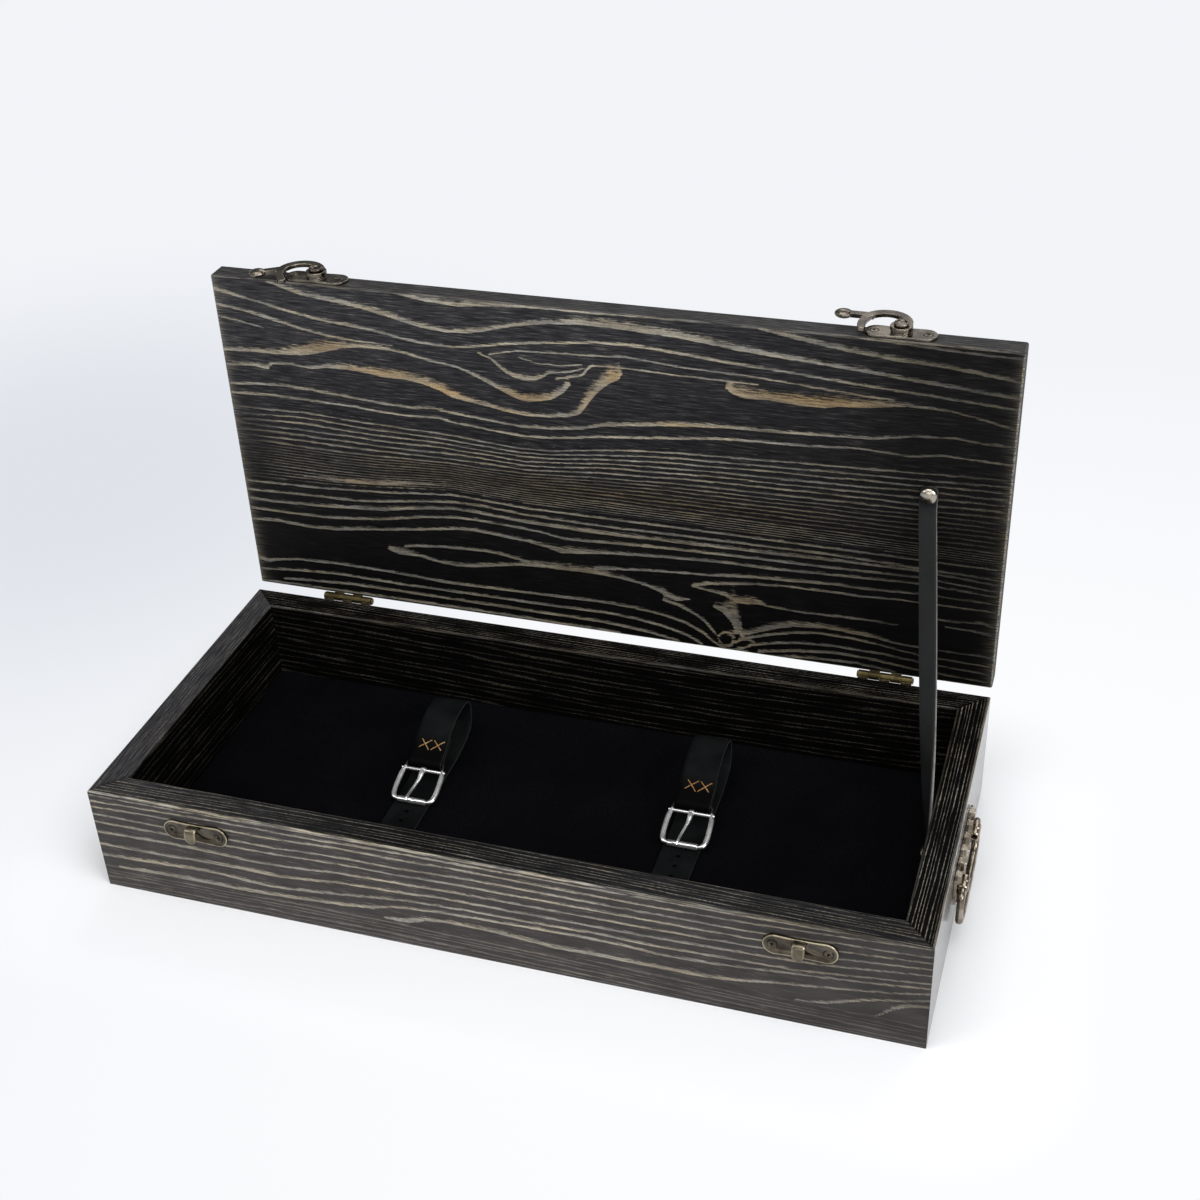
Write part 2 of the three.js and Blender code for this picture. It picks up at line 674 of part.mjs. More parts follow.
// The strap lies flat on the open lid, runs straight to the end board and turns to lie flat on that
function stayStrap() {
  const off = seatGap + stayThickness / 2;
  const upper = new THREE.Vector3(stayStudX, hingeAxisY + (lidUnderside - hingeAxisZ) - off,
    hingeAxisZ + (hingeAxisY - stayUpperY));
  const lower = new THREE.Vector3(wallFace - off, stayLowerY, stayLowerZ);
  const down = new THREE.Vector3(0, 0, -1);
  const alongWall = new THREE.Vector3(0, upper.y - lower.y, upper.z - lower.z).normalize();
  const route = [
    upper.clone().addScaledVector(down, -stayEndReach),
    upper.clone(),
    upper.clone().addScaledVector(down, stayFlatLength),
    lower.clone().addScaledVector(alongWall, stayFlatLength),
    lower.clone(),
    lower.clone().addScaledVector(alongWall, -stayFlatLength),
  ];
  const bends = [0, 0, stayFlatLength * 2, stayFlatLength * 2, 0, 0];
  const corners = roundedPath(route, bends);
  const path = [];
  corners.forEach((point, i) => {
    if (i > 0) {
      const before = corners[i - 1];
      const steps = point.distanceTo(before) > 4 * stayFlatLength ? stayStraightSteps : 1;
      for (let step = 1; step < steps; step += 1) path.push(before.clone().lerp(point, step / steps));
    }
    path.push(point);
  });
  const total = path[0].distanceTo(path[path.length - 1]);
  const rings = path.map((point, i) => {
    const before = path[Math.max(i - 1, 0)];
    const after = path[Math.min(i + 1, path.length - 1)];
    const along = after.clone().sub(before).normalize();
    const share = point.distanceTo(path[0]) / total;
    const twist = THREE.MathUtils.smoothstep(share, stayTwistStartShare, 1 - (2 * stayFlatLength) / total);
    const facing = new THREE.Vector3(-Math.sin((twist * Math.PI) / 2), -Math.cos((twist * Math.PI) / 2), 0);
    const across = along.clone().cross(facing).normalize();
    const normal = across.clone().cross(along).normalize();
    return [[-1, -1], [1, -1], [1, 1], [-1, 1]].map(([a, b]) => point.clone()
      .addScaledVector(across, (a * stayWidth) / 2)
      .addScaledVector(normal, (b * stayThickness) / 2));
  });
  const hole = () => rod(studPostRadius + seatGap, stayThickness + 2 * (seatGap + overrun));
  const upperHole = aim(hole(), front, upper.x, upper.y + off + overrun, upper.z);
  const lowerHole = aim(hole(), inward, wallFace + overrun, lower.y, lower.z);
  return cut(skinRings(rings, false), [upperHole, lowerHole]);
}
addPiece(model, 'stay_strap', stayStrap(), leather);

// Handles: one plate with two bored bosses, and a bail whose ends turn in the bosses
const bailX = halfLength + bossStandOff;
const bossSpacing = handlePlateLength * bossShare;
const bailLegSpacing = handlePlateLength * bailLegShare;
const handleBase = halfLength + seatGap;

function handlePlateShape() {
  const halfY = handlePlateLength / 2;
  const halfZ = handlePlateHeight / 2;
  const pitch = handlePlateLength / handleScallopCount;
  const shape = new THREE.Shape();
  shape.moveTo(-halfY, -halfZ + handleScallopDepth);
  for (let i = 0; i < handleScallopCount; i += 1) {
    const start = -halfY + i * pitch;
    shape.quadraticCurveTo(start + pitch / 2, -halfZ - handleScallopDepth, start + pitch, -halfZ + handleScallopDepth);
  }
  shape.quadraticCurveTo(halfY + handleScallopDepth * 2, 0, halfY, halfZ - handleScallopDepth);
  for (let i = 0; i < handleScallopCount; i += 1) {
    const start = halfY - i * pitch;
    shape.quadraticCurveTo(start - pitch / 2, halfZ + handleScallopDepth, start - pitch, halfZ - handleScallopDepth);
  }
  shape.quadraticCurveTo(-halfY - handleScallopDepth * 2, 0, -halfY, -halfZ + handleScallopDepth);
  return shape;
}

// Raised beads along both long edges of the plate: low blocks that narrow towards their tops
function handleBeads() {
  const pitch = handlePlateLength / handleScallopCount;
  const height = handleBeadHeight + handlePlateThickness / 2;
  const beads = [];
  for (let i = 0; i < handleScallopCount; i += 1) {
    for (const edge of [-1, 1]) {
      const bead = new THREE.CylinderGeometry(handleBeadTopShare, 1, height, wireSides / 2);
      bead.rotateY(Math.PI / 4).scale(handleBeadWidth / Math.SQRT2, 1, handleBeadLength / Math.SQRT2);
      bead.rotateZ(-Math.PI / 2);
      bead.translate(handleBase + handlePlateThickness / 2 + height / 2, (i + 0.5) * pitch - handlePlateLength / 2,
        handleZ + handlePlateRise + edge * (handlePlateHeight / 2 - handleBeadInset));
      beads.push(bead);
    }
  }
  return beads;
}

function handlePlate(side) {
  const toRightFace = new THREE.Matrix4().makeBasis(
    new THREE.Vector3(0, 1, 0),
    new THREE.Vector3(0, 0, 1),
    new THREE.Vector3(1, 0, 0),
  );
  const plate = new THREE.ExtrudeGeometry(handlePlateShape(), {
    depth: handlePlateThickness,
    curveSegments: cornerSteps,
    bevelEnabled: false,
  });
  plate.applyMatrix4(toRightFace).translate(handleBase, 0, handleZ + handlePlateRise);
  const pieces = [plate, ...handleBeads()];
  const bores = [];
  for (const end of [-1, 1]) {
    const y = (end * bossSpacing) / 2 - bossLength / 2;
    const groove = bossRadius - bossGrooveDepth;
    const middle = bossLength / 2;
    const tube = turned([
      [0, 0], [groove, 0], [bossRadius, bossGrooveDepth], [bossRadius, middle - bossGrooveWidth / 2],
      [groove, middle], [bossRadius, middle + bossGrooveWidth / 2], [bossRadius, bossLength - bossGrooveDepth],
      [groove, bossLength], [0, bossLength],
    ]);
    pieces.push(aim(tube, back, bailX, y, handleZ));
    const footDepth = bossStandOff - seatGap - handlePlateThickness / 2;
    const foot = block(footDepth, bossLength * bossFootLengthShare, 2 * bossRadius * bossFootHeightShare);
    pieces.push(foot.translate(bailX - footDepth / 2, y + middle, handleZ));
    const bore = rod(bailWireRadius + runningGap, bossLength + 2 * overrun);
    bores.push(aim(bore, back, bailX, y - overrun, handleZ));
  }
  const whole = join(...pieces);
  return cut(side === 'left' ? whole.rotateZ(Math.PI) : whole,
    [...(side === 'left' ? bores.map((bore) => bore.rotateZ(Math.PI)) : bores),
      ...screwHoles(null, [`handle_screw_${side}`])]);
}

function handleBail(side) {
  const bossEnd = (bossSpacing + bossLength) / 2;
  const legY = bailLegSpacing / 2;
  const at = (y, z) => new THREE.Vector3(bailX, y, z);
  // The ends step down to the thickness that turns in the bosses
  const stepY = bossEnd + runningGap;
  const path = roundedPath([
    at(bossEnd - bailEndReach, handleZ),
    at(stepY, handleZ),
    at(stepY + runningGap, handleZ),
    at(legY, handleZ),
    at(legY, handleZ - bailDrop),
    at(0, handleZ - bailDrop),
    at(-legY, handleZ - bailDrop),
    at(-legY, handleZ),
    at(-stepY - runningGap, handleZ),
    at(-stepY, handleZ),
    at(-bossEnd + bailEndReach, handleZ),
  ], [0, 0, 0, bailElbowRadius, bailCornerRadius, 0, bailCornerRadius, bailElbowRadius, 0, 0, 0]);
  const thickness = (point) => {
    const down = (handleZ - point.z) / bailDrop;
    const inBoss = Math.abs(point.y) < stepY + runningGap / 2;
    const radius = inBoss ? bailWireRadius : THREE.MathUtils.lerp(bailLegRadius, bailGripRadius, down);
    return [radius, radius];
  };
  const bail = sweepBar(path, new THREE.Vector3(1, 0, 0), thickness);
  return side === 'left' ? bail.rotateZ(Math.PI) : bail;
}

for (const [side] of sides) {
  addPiece(model, `handle_plate_${side}`, handlePlate(side), copperBronze);
  addPiece(model, `handle_bail_${side}`, handleBail(side), copperBronze);
}

// Hold-down straps. Each is one strip, drawn in its side view as [along Y, up Z] from the buckle end of its loop
const restHeight = seatGap + strapThickness / 2;
const foldRadius = heelBarRadius + seatGap + strapThickness / 2;
const loopPoints = loopShares.map(([along, up]) => new THREE.Vector3(along * loopLength, restHeight + up * loopRise, 0));
const loopCurve = new THREE.CatmullRomCurve3([
  ...loopPoints,
  new THREE.Vector3(-tailLength / 2, restHeight, 0),
  new THREE.Vector3(-tailLength, restHeight, 0),
]);
const loopSteps = 96;
const loopLine = loopCurve.getPoints(loopSteps);
const startTangent = loopLine[1].clone().sub(loopLine[0]).normalize();
const startDown = new THREE.Vector3(startTangent.y, -startTangent.x, 0);
const heelBar = loopLine[0].clone().addScaledVector(startDown, foldRadius);

function strapCentreLine() {
  const fold = [];
  const foldSteps = cornerSteps * 3;
  for (let i = 1; i <= foldSteps; i += 1) {
    const turn = (i / foldSteps) * Math.PI;
    fold.push(loopLine[0].clone().sub(heelBar).applyAxisAngle(new THREE.Vector3(0, 0, 1), turn).add(heelBar));
  }
  // The end runs back under the strap, closing from the bar's width to one thickness below it
  const under = [];
  let run = 0;
  for (let i = 1; run < foldBackLength; i += 1) {
    run += loopLine[i].distanceTo(loopLine[i - 1]);
    const along = loopLine[i + 1].clone().sub(loopLine[i - 1]).normalize();
    const below = THREE.MathUtils.lerp(2 * foldRadius, strapThickness + seatGap,
      THREE.MathUtils.smoothstep(run, 0, foldMergeLength));
    under.push(loopLine[i].clone().add(new THREE.Vector3(along.y, -along.x, 0).multiplyScalar(below)));
  }
  return [...under.reverse(), ...fold.reverse(), ...loopLine];
}

function strapShape() {
  const line = strapCentreLine();
  const offsets = [-1, 1].map((side) => line.map((point, i) => {
    const along = line[Math.min(i + 1, line.length - 1)].clone().sub(line[Math.max(i - 1, 0)]).normalize();
    return new THREE.Vector2(
      point.x - (side * along.y * strapThickness) / 2,
      point.y + (side * along.x * strapThickness) / 2,
    );
  }));
  return new THREE.Shape([...offsets[0], ...offsets[1].reverse()]);
}

// The drawing's axes are turned so that along becomes Y, up becomes Z, and the depth runs along X
const sideView = new THREE.Matrix4().makeBasis(
  new THREE.Vector3(0, 1, 0),
  new THREE.Vector3(0, 0, 1),
  new THREE.Vector3(1, 0, 0),
);

function holdDownStrap() {
  const strip = new THREE.ExtrudeGeometry(strapShape(), { depth: strapWidth, bevelEnabled: false });
  strip.translate(0, 0, -strapWidth / 2).applyMatrix4(sideView);
  const holes = Array.from({ length: strapHoleCount }, (_, i) => (
    rod(strapHoleRadius, strapThickness + 2 * overrun, wireSides)
      .translate(0, -strapFirstHole - i * strapHolePitch, restHeight - strapThickness / 2 - overrun)
  ));
  return cut(strip, holes);
}

// Buckle frame: a wire loop with its heel bar in the strap's fold, sloping down to a roller just over the tail
const frontBarHeight = 2 * seatGap + strapThickness + rollerRadius;
const frameDrop = heelBar.y - frontBarHeight;
const frameSlope = Math.asin(frameDrop / frameLength);
const frameSideX = strapWidth / 2 + frameSideGap + sideBarHalfWidth;
const prongCoilInner = prongBarRadius + runningGap;
const prongCoilOuter = prongCoilInner + prongCoilWall;
const prongBarReach = foldRadius + strapThickness / 2 + seatGap + prongCoilOuter;
// Places on the frame: across X, forward along the slope, and off its plane
const onFrame = (across, forward, off = 0) => new THREE.Vector3(
  frameShift + across,
  heelBar.x - forward * Math.cos(frameSlope) - off * Math.sin(frameSlope),
  heelBar.y - forward * Math.sin(frameSlope) + off * Math.cos(frameSlope),
);
const frameNormal = onFrame(0, 0, 1).sub(onFrame(0, 0, 0));

function buckleFrame() {
  const path = roundedPath([
    onFrame(-frameSideX, 0),
    onFrame(frameSideX, 0),
    onFrame(frameSideX, frameLength),
    onFrame(-frameSideX, frameLength),
  ], [frameHeelRadius, frameHeelRadius, frameFrontRadius, frameFrontRadius], true);
  const thickness = (point) => {
    const sideways = THREE.MathUtils.smoothstep(Math.abs(point.x - frameShift), frameSideX - frameFrontRadius, frameSideX);
    return [
      THREE.MathUtils.lerp(heelBarRadius, sideBarHalfWidth, sideways),
      THREE.MathUtils.lerp(heelBarRadius, sideBarHalfThickness, sideways),
    ];
  };
  const loop = sweepBar(path, frameNormal, thickness, true);
  const start = onFrame(-frameSideX, prongBarReach);
  return join(loop, aim(rod(prongBarRadius, 2 * frameSideX, wireSides), right, start.x, start.y, start.z));
}

function buckleRoller() {
  const halfWidth = frameSideX - frameFrontRadius - rollerEndGap;
  const bore = heelBarRadius + runningGap;
  const ring = turned([
    [bore, -halfWidth], [rollerRadius, -halfWidth], [rollerRadius, halfWidth], [bore, halfWidth],
    [bore, -halfWidth],
  ]);
  const place = onFrame(0, frameLength);
  return aim(ring, right, place.x, place.y, place.z);
}

function buckleProng() {
  const coil = turned([
    [prongCoilInner, -prongWidth / 2], [prongCoilOuter, -prongWidth / 2], [prongCoilOuter, prongWidth / 2],
    [prongCoilInner, prongWidth / 2], [prongCoilInner, -prongWidth / 2],
  ]);
  const place = onFrame(0, prongBarReach);
  const bar = aim(coil, right, place.x, place.y, place.z);
  // The stem leaves the coil's top, dips to its middle and rises to lie on the roller
  const reach = frameLength - prongBarReach;
  const onRoller = rollerRadius + runningGap + prongThickness / 2;
  const stemTop = prongCoilOuter - prongThickness / 2;
  const stemPoints = [
    [prongThickness / 4, stemTop],
    ...prongLineShares.map(([forward, off]) => [forward * reach, off * stemTop]),
    [reach, onRoller],
    [reach + prongOverhang, onRoller - prongThickness / 4],
  ].map(([forward, off]) => onFrame(0, prongBarReach + forward, off));
  const path = new THREE.CatmullRomCurve3(stemPoints).getPoints(roundSides);
  const stem = sweepBar(path, new THREE.Vector3(1, 0, 0), (point, i) => {
    const share = THREE.MathUtils.smoothstep(i / roundSides, ...prongNarrowingShares);
    return [prongThickness / 2, THREE.MathUtils.lerp(prongWidth, prongTipWidth, share) / 2];
  });
  const whole = join(bar, stem);
  return cut(whole, [aim(rod(prongCoilInner, prongWidth + 2 * overrun), right,
    place.x - prongWidth / 2 - overrun, place.y, place.z)]);
}

for (const [side, sign] of sides) {
  const group = new THREE.Group();
  group.position.set(sign * strapPlaceShare * caseLength, sign < 0 ? leftStrapStart : rightStrapStart, feltTop);
  model.add(group);
  addPiece(group, `hold_down_strap_${side}`, holdDownStrap(), leather);
  addPiece(group, `buckle_frame_${side}`, buckleFrame(), chromePlate);
  addPiece(group, `buckle_roller_${side}`, buckleRoller(), chromePlate);
  addPiece(group, `buckle_prong_${side}`, buckleProng(), chromePlate);
}

export default model;
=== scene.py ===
# %% [markdown]
# # A wooden display case for a knife
# The case is a low mitred box of brushed softwood, stained black, on which a lid of the same wood stands
# open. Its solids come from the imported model, so this script only adds what the eye wants on top of
# them: grain, rounded edges, leather, thread and worn metal. Places in Blender are in metres. The
# lengths written below are in millimetres where they are later multiplied by MM.

# %% Load the frame
import json
import math

import bpy
import numpy as np
from mathutils import Matrix, Vector

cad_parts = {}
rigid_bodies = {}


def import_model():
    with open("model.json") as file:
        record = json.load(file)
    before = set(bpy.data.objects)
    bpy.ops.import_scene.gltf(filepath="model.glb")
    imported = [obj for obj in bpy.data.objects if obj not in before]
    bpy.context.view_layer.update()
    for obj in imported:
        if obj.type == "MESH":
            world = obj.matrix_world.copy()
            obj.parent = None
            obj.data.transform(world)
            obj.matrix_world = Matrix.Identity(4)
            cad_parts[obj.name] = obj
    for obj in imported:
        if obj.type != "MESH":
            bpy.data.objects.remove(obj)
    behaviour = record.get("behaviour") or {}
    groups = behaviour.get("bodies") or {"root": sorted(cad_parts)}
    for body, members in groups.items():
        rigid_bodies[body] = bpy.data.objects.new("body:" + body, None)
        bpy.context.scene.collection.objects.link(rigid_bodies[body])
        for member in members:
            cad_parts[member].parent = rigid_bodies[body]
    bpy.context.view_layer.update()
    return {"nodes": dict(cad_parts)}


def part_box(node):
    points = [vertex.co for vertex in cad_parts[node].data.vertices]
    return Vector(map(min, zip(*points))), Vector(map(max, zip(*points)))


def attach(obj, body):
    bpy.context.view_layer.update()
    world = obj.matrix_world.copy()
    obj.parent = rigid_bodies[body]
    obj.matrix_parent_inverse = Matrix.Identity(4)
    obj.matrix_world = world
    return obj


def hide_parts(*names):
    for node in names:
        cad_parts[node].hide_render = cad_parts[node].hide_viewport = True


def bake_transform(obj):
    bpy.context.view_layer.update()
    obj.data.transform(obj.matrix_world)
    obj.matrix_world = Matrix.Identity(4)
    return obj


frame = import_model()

MM = 0.001
nodes = frame["nodes"]
for name in ("Cube", "Light", "Camera"):
    if name in bpy.data.objects:
        bpy.data.objects.remove(bpy.data.objects[name])

# %% [markdown]
# ## The camera
# A photograph of a box gives its own camera away: the corners of the rim and of the lid fix where it
# stood. The camera stands to the right of the case, a little above it, and looks down with a slight
# roll. It could be placed by eye, but a position, a point to look at and a lens make it repeatable.

# %% Camera
CAMERA_PLACE = Vector((0.31014, -0.79687, 0.73644))
CAMERA_TARGET = Vector((0.03735, 0.0, 0.18276))
CAMERA_ROLL = math.radians(2.58)
LENS, FILM_WIDTH = 53.55, 36

camera_data = bpy.data.cameras.new("camera")
camera_data.lens = LENS
camera_data.sensor_width = FILM_WIDTH
camera = bpy.data.objects.new("camera", camera_data)
bpy.context.scene.collection.objects.link(camera)
looking = (CAMERA_TARGET - CAMERA_PLACE).normalized()
turn = looking.to_track_quat("-Z", "Y").to_matrix() @ Matrix.Rotation(-CAMERA_ROLL, 3, "Z")
camera.matrix_world = Matrix.Translation(CAMERA_PLACE) @ turn.to_4x4()
bpy.context.scene.camera = camera
print("camera stands", round((CAMERA_TARGET - CAMERA_PLACE).length, 3), "m from what it looks at")

# %% [markdown]
# ## A small kit for materials
# Every finish here is a node tree. Wiring nodes by hand takes four lines each, so this class gives each
# kind of node one short method. A value may be a number or the output of another node.


# %% Node kit
class Finish:
    """A material whose nodes are added one call at a time; its shader is one Principled BSDF."""

    def __init__(self, name, **settings):
        self.material = bpy.data.materials.new(name)
        self.material.use_nodes = True
        self.tree = self.material.node_tree
        self.shader = self.tree.nodes["Principled BSDF"]
        for label, value in settings.items():
            self.set(self.shader.inputs[label.replace("_", " ")], value)

    def set(self, socket, value):
        if isinstance(value, bpy.types.NodeSocket):
            self.tree.links.new(value, socket)
        elif hasattr(value, "__len__") and len(value) == 3 and socket.type == "RGBA":
            socket.default_value = (*value, 1)
        else:
            socket.default_value = value

    def node(self, kind, *values, **settings):
        made = self.tree.nodes.new("ShaderNode" + kind)
        for label, value in settings.items():
            setattr(made, label, value)
        for socket, value in zip(made.inputs, values):
            if value is not None:
                self.set(socket, value)
        return made

    def math(self, operation, *values):
        return self.node("Math", *values, operation=operation).outputs[0]

    def times(self, first, second):
        return self.math("MULTIPLY", first, second)

    def larger(self, first, second):
        return self.math("MAXIMUM", first, second)

    def shaken(self, value, noise, amount):
        """Value, moved up and down by a noise."""
        return self.math("ADD", value, self.times(self.math("SUBTRACT", noise, 0.5), amount))

    def vector(self, operation, *values, output=0):
        return self.node("VectorMath", *values, operation=operation).outputs[output]

    def place(self, scale, source=None):
        """Where a point is on its piece, in metres times scale."""
        return self.vector("MULTIPLY", source or self.node("TexCoord").outputs["Object"], tuple(scale))

    def noise(self, place, detail=2, roughness=0.5, distortion=0):
        made = self.node("TexNoise", place, noise_dimensions="3D")
        settings = {"Scale": 1, "Detail": detail, "Roughness": roughness, "Distortion": distortion}
        for label, value in settings.items():
            made.inputs[label].default_value = value
        return made.outputs["Fac"]

    def span(self, value, low, high, to_low=0.0, to_high=1.0):
        """Value from low to high becomes to_low to to_high, with soft ends, and is clamped outside."""
        made = self.node("MapRange", value, low, high, to_low, to_high)
        made.interpolation_type = "SMOOTHSTEP"
        return made.outputs[0]

    def blend(self, factor, first, second):
        made = self.node("Mix", data_type="RGBA", blend_type="MIX")
        self.set(made.inputs["Factor"], factor)
        self.set(made.inputs[6], first)
        self.set(made.inputs[7], second)
        return made.outputs[2]

    def stored(self, name, kind="Fac"):
        """A number, or a vector, that the piece's vertices carry under a name."""
        return self.node("Attribute", attribute_name=name).outputs[kind]

    def bump(self, height, distance, strength=1.0, below=None):
        made = self.node("Bump")
        self.set(made.inputs["Height"], height)
        made.inputs["Distance"].default_value = distance
        made.inputs["Strength"].default_value = strength
        if below is not None:
            self.set(made.inputs["Normal"], below)
        return made.outputs[0]

    def finish(self, color, roughness=None, normal=None):
        for label, value in (("Base Color", color), ("Roughness", roughness), ("Normal", normal)):
            if value is not None:
                self.set(self.shader.inputs[label], value)
        return self.material


# %% [markdown]
# ## The studio
# The case stands on a white sweep under broad soft lamps. The lamps give a plain level, at which a
# colour looks as it is written. The background is made white by what the camera ray sees, and not by
# more light. A picture of a real studio could light it too, but five lamps are easier to weigh against
# each other.

# %% Studio
BACKGROUND = (0.87, 0.885, 0.92)
LIGHTS = [
    # name, place, looks at, width, height, watts
    ("bank", (2.0, -1.1, 1.5), (0.1, 0, 0.1), 1.8, 1.5, 44),
    ("window", (-1.9, -1.3, 1.7), (0, 0, 0.1), 1.6, 1.4, 17),
    ("overhead", (0.1, -0.7, 2.6), (0, 0, 0), 2.4, 1.6, 34),
    ("fill", (0.2, -2.6, 1.0), (0, 0, 0.1), 2.0, 1.0, 14),
    ("back", (0.3, 1.9, 1.9), (0, 0, 0.1), 2.2, 1.2, 20),
]
WORLD_STRENGTH = 0.22

for name, place, target, width, height, watts in LIGHTS:
    data = bpy.data.lights.new(name, "AREA")
    data.shape = "RECTANGLE"
    data.size, data.size_y, data.energy = width, height, watts
    lamp = bpy.data.objects.new(name, data)
    lamp.location = place
    lamp.rotation_euler = (Vector(target) - Vector(place)).to_track_quat("-Z", "Y").to_euler()
    bpy.context.scene.collection.objects.link(lamp)

bpy.context.scene.view_settings.view_transform = "Standard"
print("lamps:", len(LIGHTS))

# %% World
world = bpy.data.worlds.new("studio")
bpy.context.scene.world = world
world.use_nodes = True
tree = world.node_tree
tree.nodes.clear()
lit, seen, mix, out, rays = (
    tree.nodes.new("ShaderNode" + kind)
    for kind in ("Background", "Background", "MixShader", "OutputWorld", "LightPath")
)
lit.inputs["Color"].default_value = (1, 1, 1, 1)
lit.inputs["Strength"].default_value = WORLD_STRENGTH
seen.inputs["Color"].default_value = (*BACKGROUND, 1)
seen.inputs["Strength"].default_value = 1
tree.links.new(rays.outputs["Is Camera Ray"], mix.inputs[0])
tree.links.new(lit.outputs[0], mix.inputs[1])
tree.links.new(seen.outputs[0], mix.inputs[2])
tree.links.new(mix.outputs[0], out.inputs["Surface"])
print("world lights with", WORLD_STRENGTH, "and is seen as", BACKGROUND)

# %% [markdown]
# ## The floor
# A white sweep shows almost no texture, yet it carries the soft contact shadow that seats the case. The
# floor is one large sheet with a faint mottling, and it stays out of the case's own pieces. Far from the
# case the camera sees it as a shaded backdrop, and so do gloss and glass, so that it meets the
# background unseen.

# %% Floor sheet and how far each point is from the case
FLOOR_SIZE = 12.0
FLOOR_COLOR = (0.87, 0.88, 0.90)
MOTTLE = 0.985
FOOT = (0.25, 0.113, 0)

paper = Finish("white_sweep", Roughness=0.9)
mottle = paper.noise(paper.place((3, 3, 3)), detail=3)
paper.finish(color=paper.blend(mottle, FLOOR_COLOR, tuple(c * MOTTLE for c in FLOOR_COLOR)))
here = paper.place((1, 1, 0))
beyond = paper.vector("SUBTRACT", paper.vector("ABSOLUTE", here), FOOT)
from_case = paper.vector("LENGTH", paper.vector("MAXIMUM", beyond, (0, 0, 0)), output="Value")

half = FLOOR_SIZE / 2
floor_mesh = bpy.data.meshes.new("floor")
corners = [(-half, -half, 0), (half, -half, 0), (half, half, 0), (-half, half, 0)]
floor_mesh.from_pydata(corners, [], [(0, 1, 2, 3)])
floor_mesh.materials.append(paper.material)
floor = bpy.data.objects.new("floor", floor_mesh)
bpy.context.scene.collection.objects.link(floor)
print("floor:", FLOOR_SIZE, "m wide")

# %% Backdrop seen far from the case
NEAR_FLOOR, FAR_FLOOR = 0.012, 0.10
GLOW_NEAR, GLOW_FAR, GLOW_DIM = (0.975, 0.98, 0.995), (0.88, 0.898, 0.935), (0.74, 0.77, 0.82)
BRIGHT_SPOT, DIM_SPOT = (0.3, -0.05, 0), (-0.55, 0.34, 0)

path = paper.node("LightPath").outputs
seen_by = paper.larger(path["Is Glossy Ray"], path["Is Transmission Ray"])
seen_by = paper.larger(path["Is Camera Ray"], seen_by)
far = paper.times(paper.span(from_case, NEAR_FLOOR, FAR_FLOOR), seen_by)
# Painted light and shade on the backdrop's glow: brighter round BRIGHT_SPOT, dimmer round DIM_SPOT
from_bright = paper.vector("DISTANCE", here, BRIGHT_SPOT, output="Value")
shade_color = paper.blend(paper.span(from_bright, 0.15, 1.0), GLOW_NEAR, GLOW_FAR)
from_dim = paper.vector("DISTANCE", here, DIM_SPOT, output="Value")
shade_color = paper.blend(paper.span(from_dim, 0.05, 0.55, 1.0, 0.0), shade_color, GLOW_DIM)
glow = paper.node("Emission", shade_color)
either = paper.node("MixShader", far, paper.shader.outputs[0], glow.outputs[0])
paper.tree.links.new(either.outputs[0], paper.tree.nodes["Material Output"].inputs["Surface"])
print("backdrop shows from", FAR_FLOOR, "m away")

# %% [markdown]
# ## Making a piece
# All new pieces are meshes whose vertices are written where they stand, so one helper turns points and
# faces into a named object that rides on a body and stands for the solids it replaces. A second one
# gives every vertex a number or a vector, which the piece's material reads.

# %% Piece helpers
SIDES = (("left", -1), ("right", 1))


def piece(name, points, faces, material, body, stands_for=(), slot=None):
    """A named object from points in millimetres; body may be None, and then it rides on no body."""
    mesh = bpy.data.meshes.new(name)
    mesh.from_pydata([tuple(p) for p in points * MM], [], [tuple(f) for f in faces])
    mesh.validate()
    mesh.polygons.foreach_set("use_smooth", [True] * len(mesh.polygons))
    mesh.materials.append(material)
    made = bpy.data.objects.new(name, mesh)
    bpy.context.scene.collection.objects.link(made)
    if body:
        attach(made, body)
    if stands_for:
        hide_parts(*stands_for)
    return made


def store(made, name, values):
    """Keeps one number, or one vector, for each vertex."""
    values = np.asarray(values, np.float32)
    kind, key = ("FLOAT", "value") if values.ndim == 1 else ("FLOAT_VECTOR", "vector")
    attribute = made.data.attributes.new(name, kind, "POINT")
    attribute.data.foreach_set(key, values.ravel())


def box_of(node):
    """A node's lowest and highest corners, in millimetres."""
    low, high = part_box(node)
    return np.array(low) / MM, np.array(high) / MM
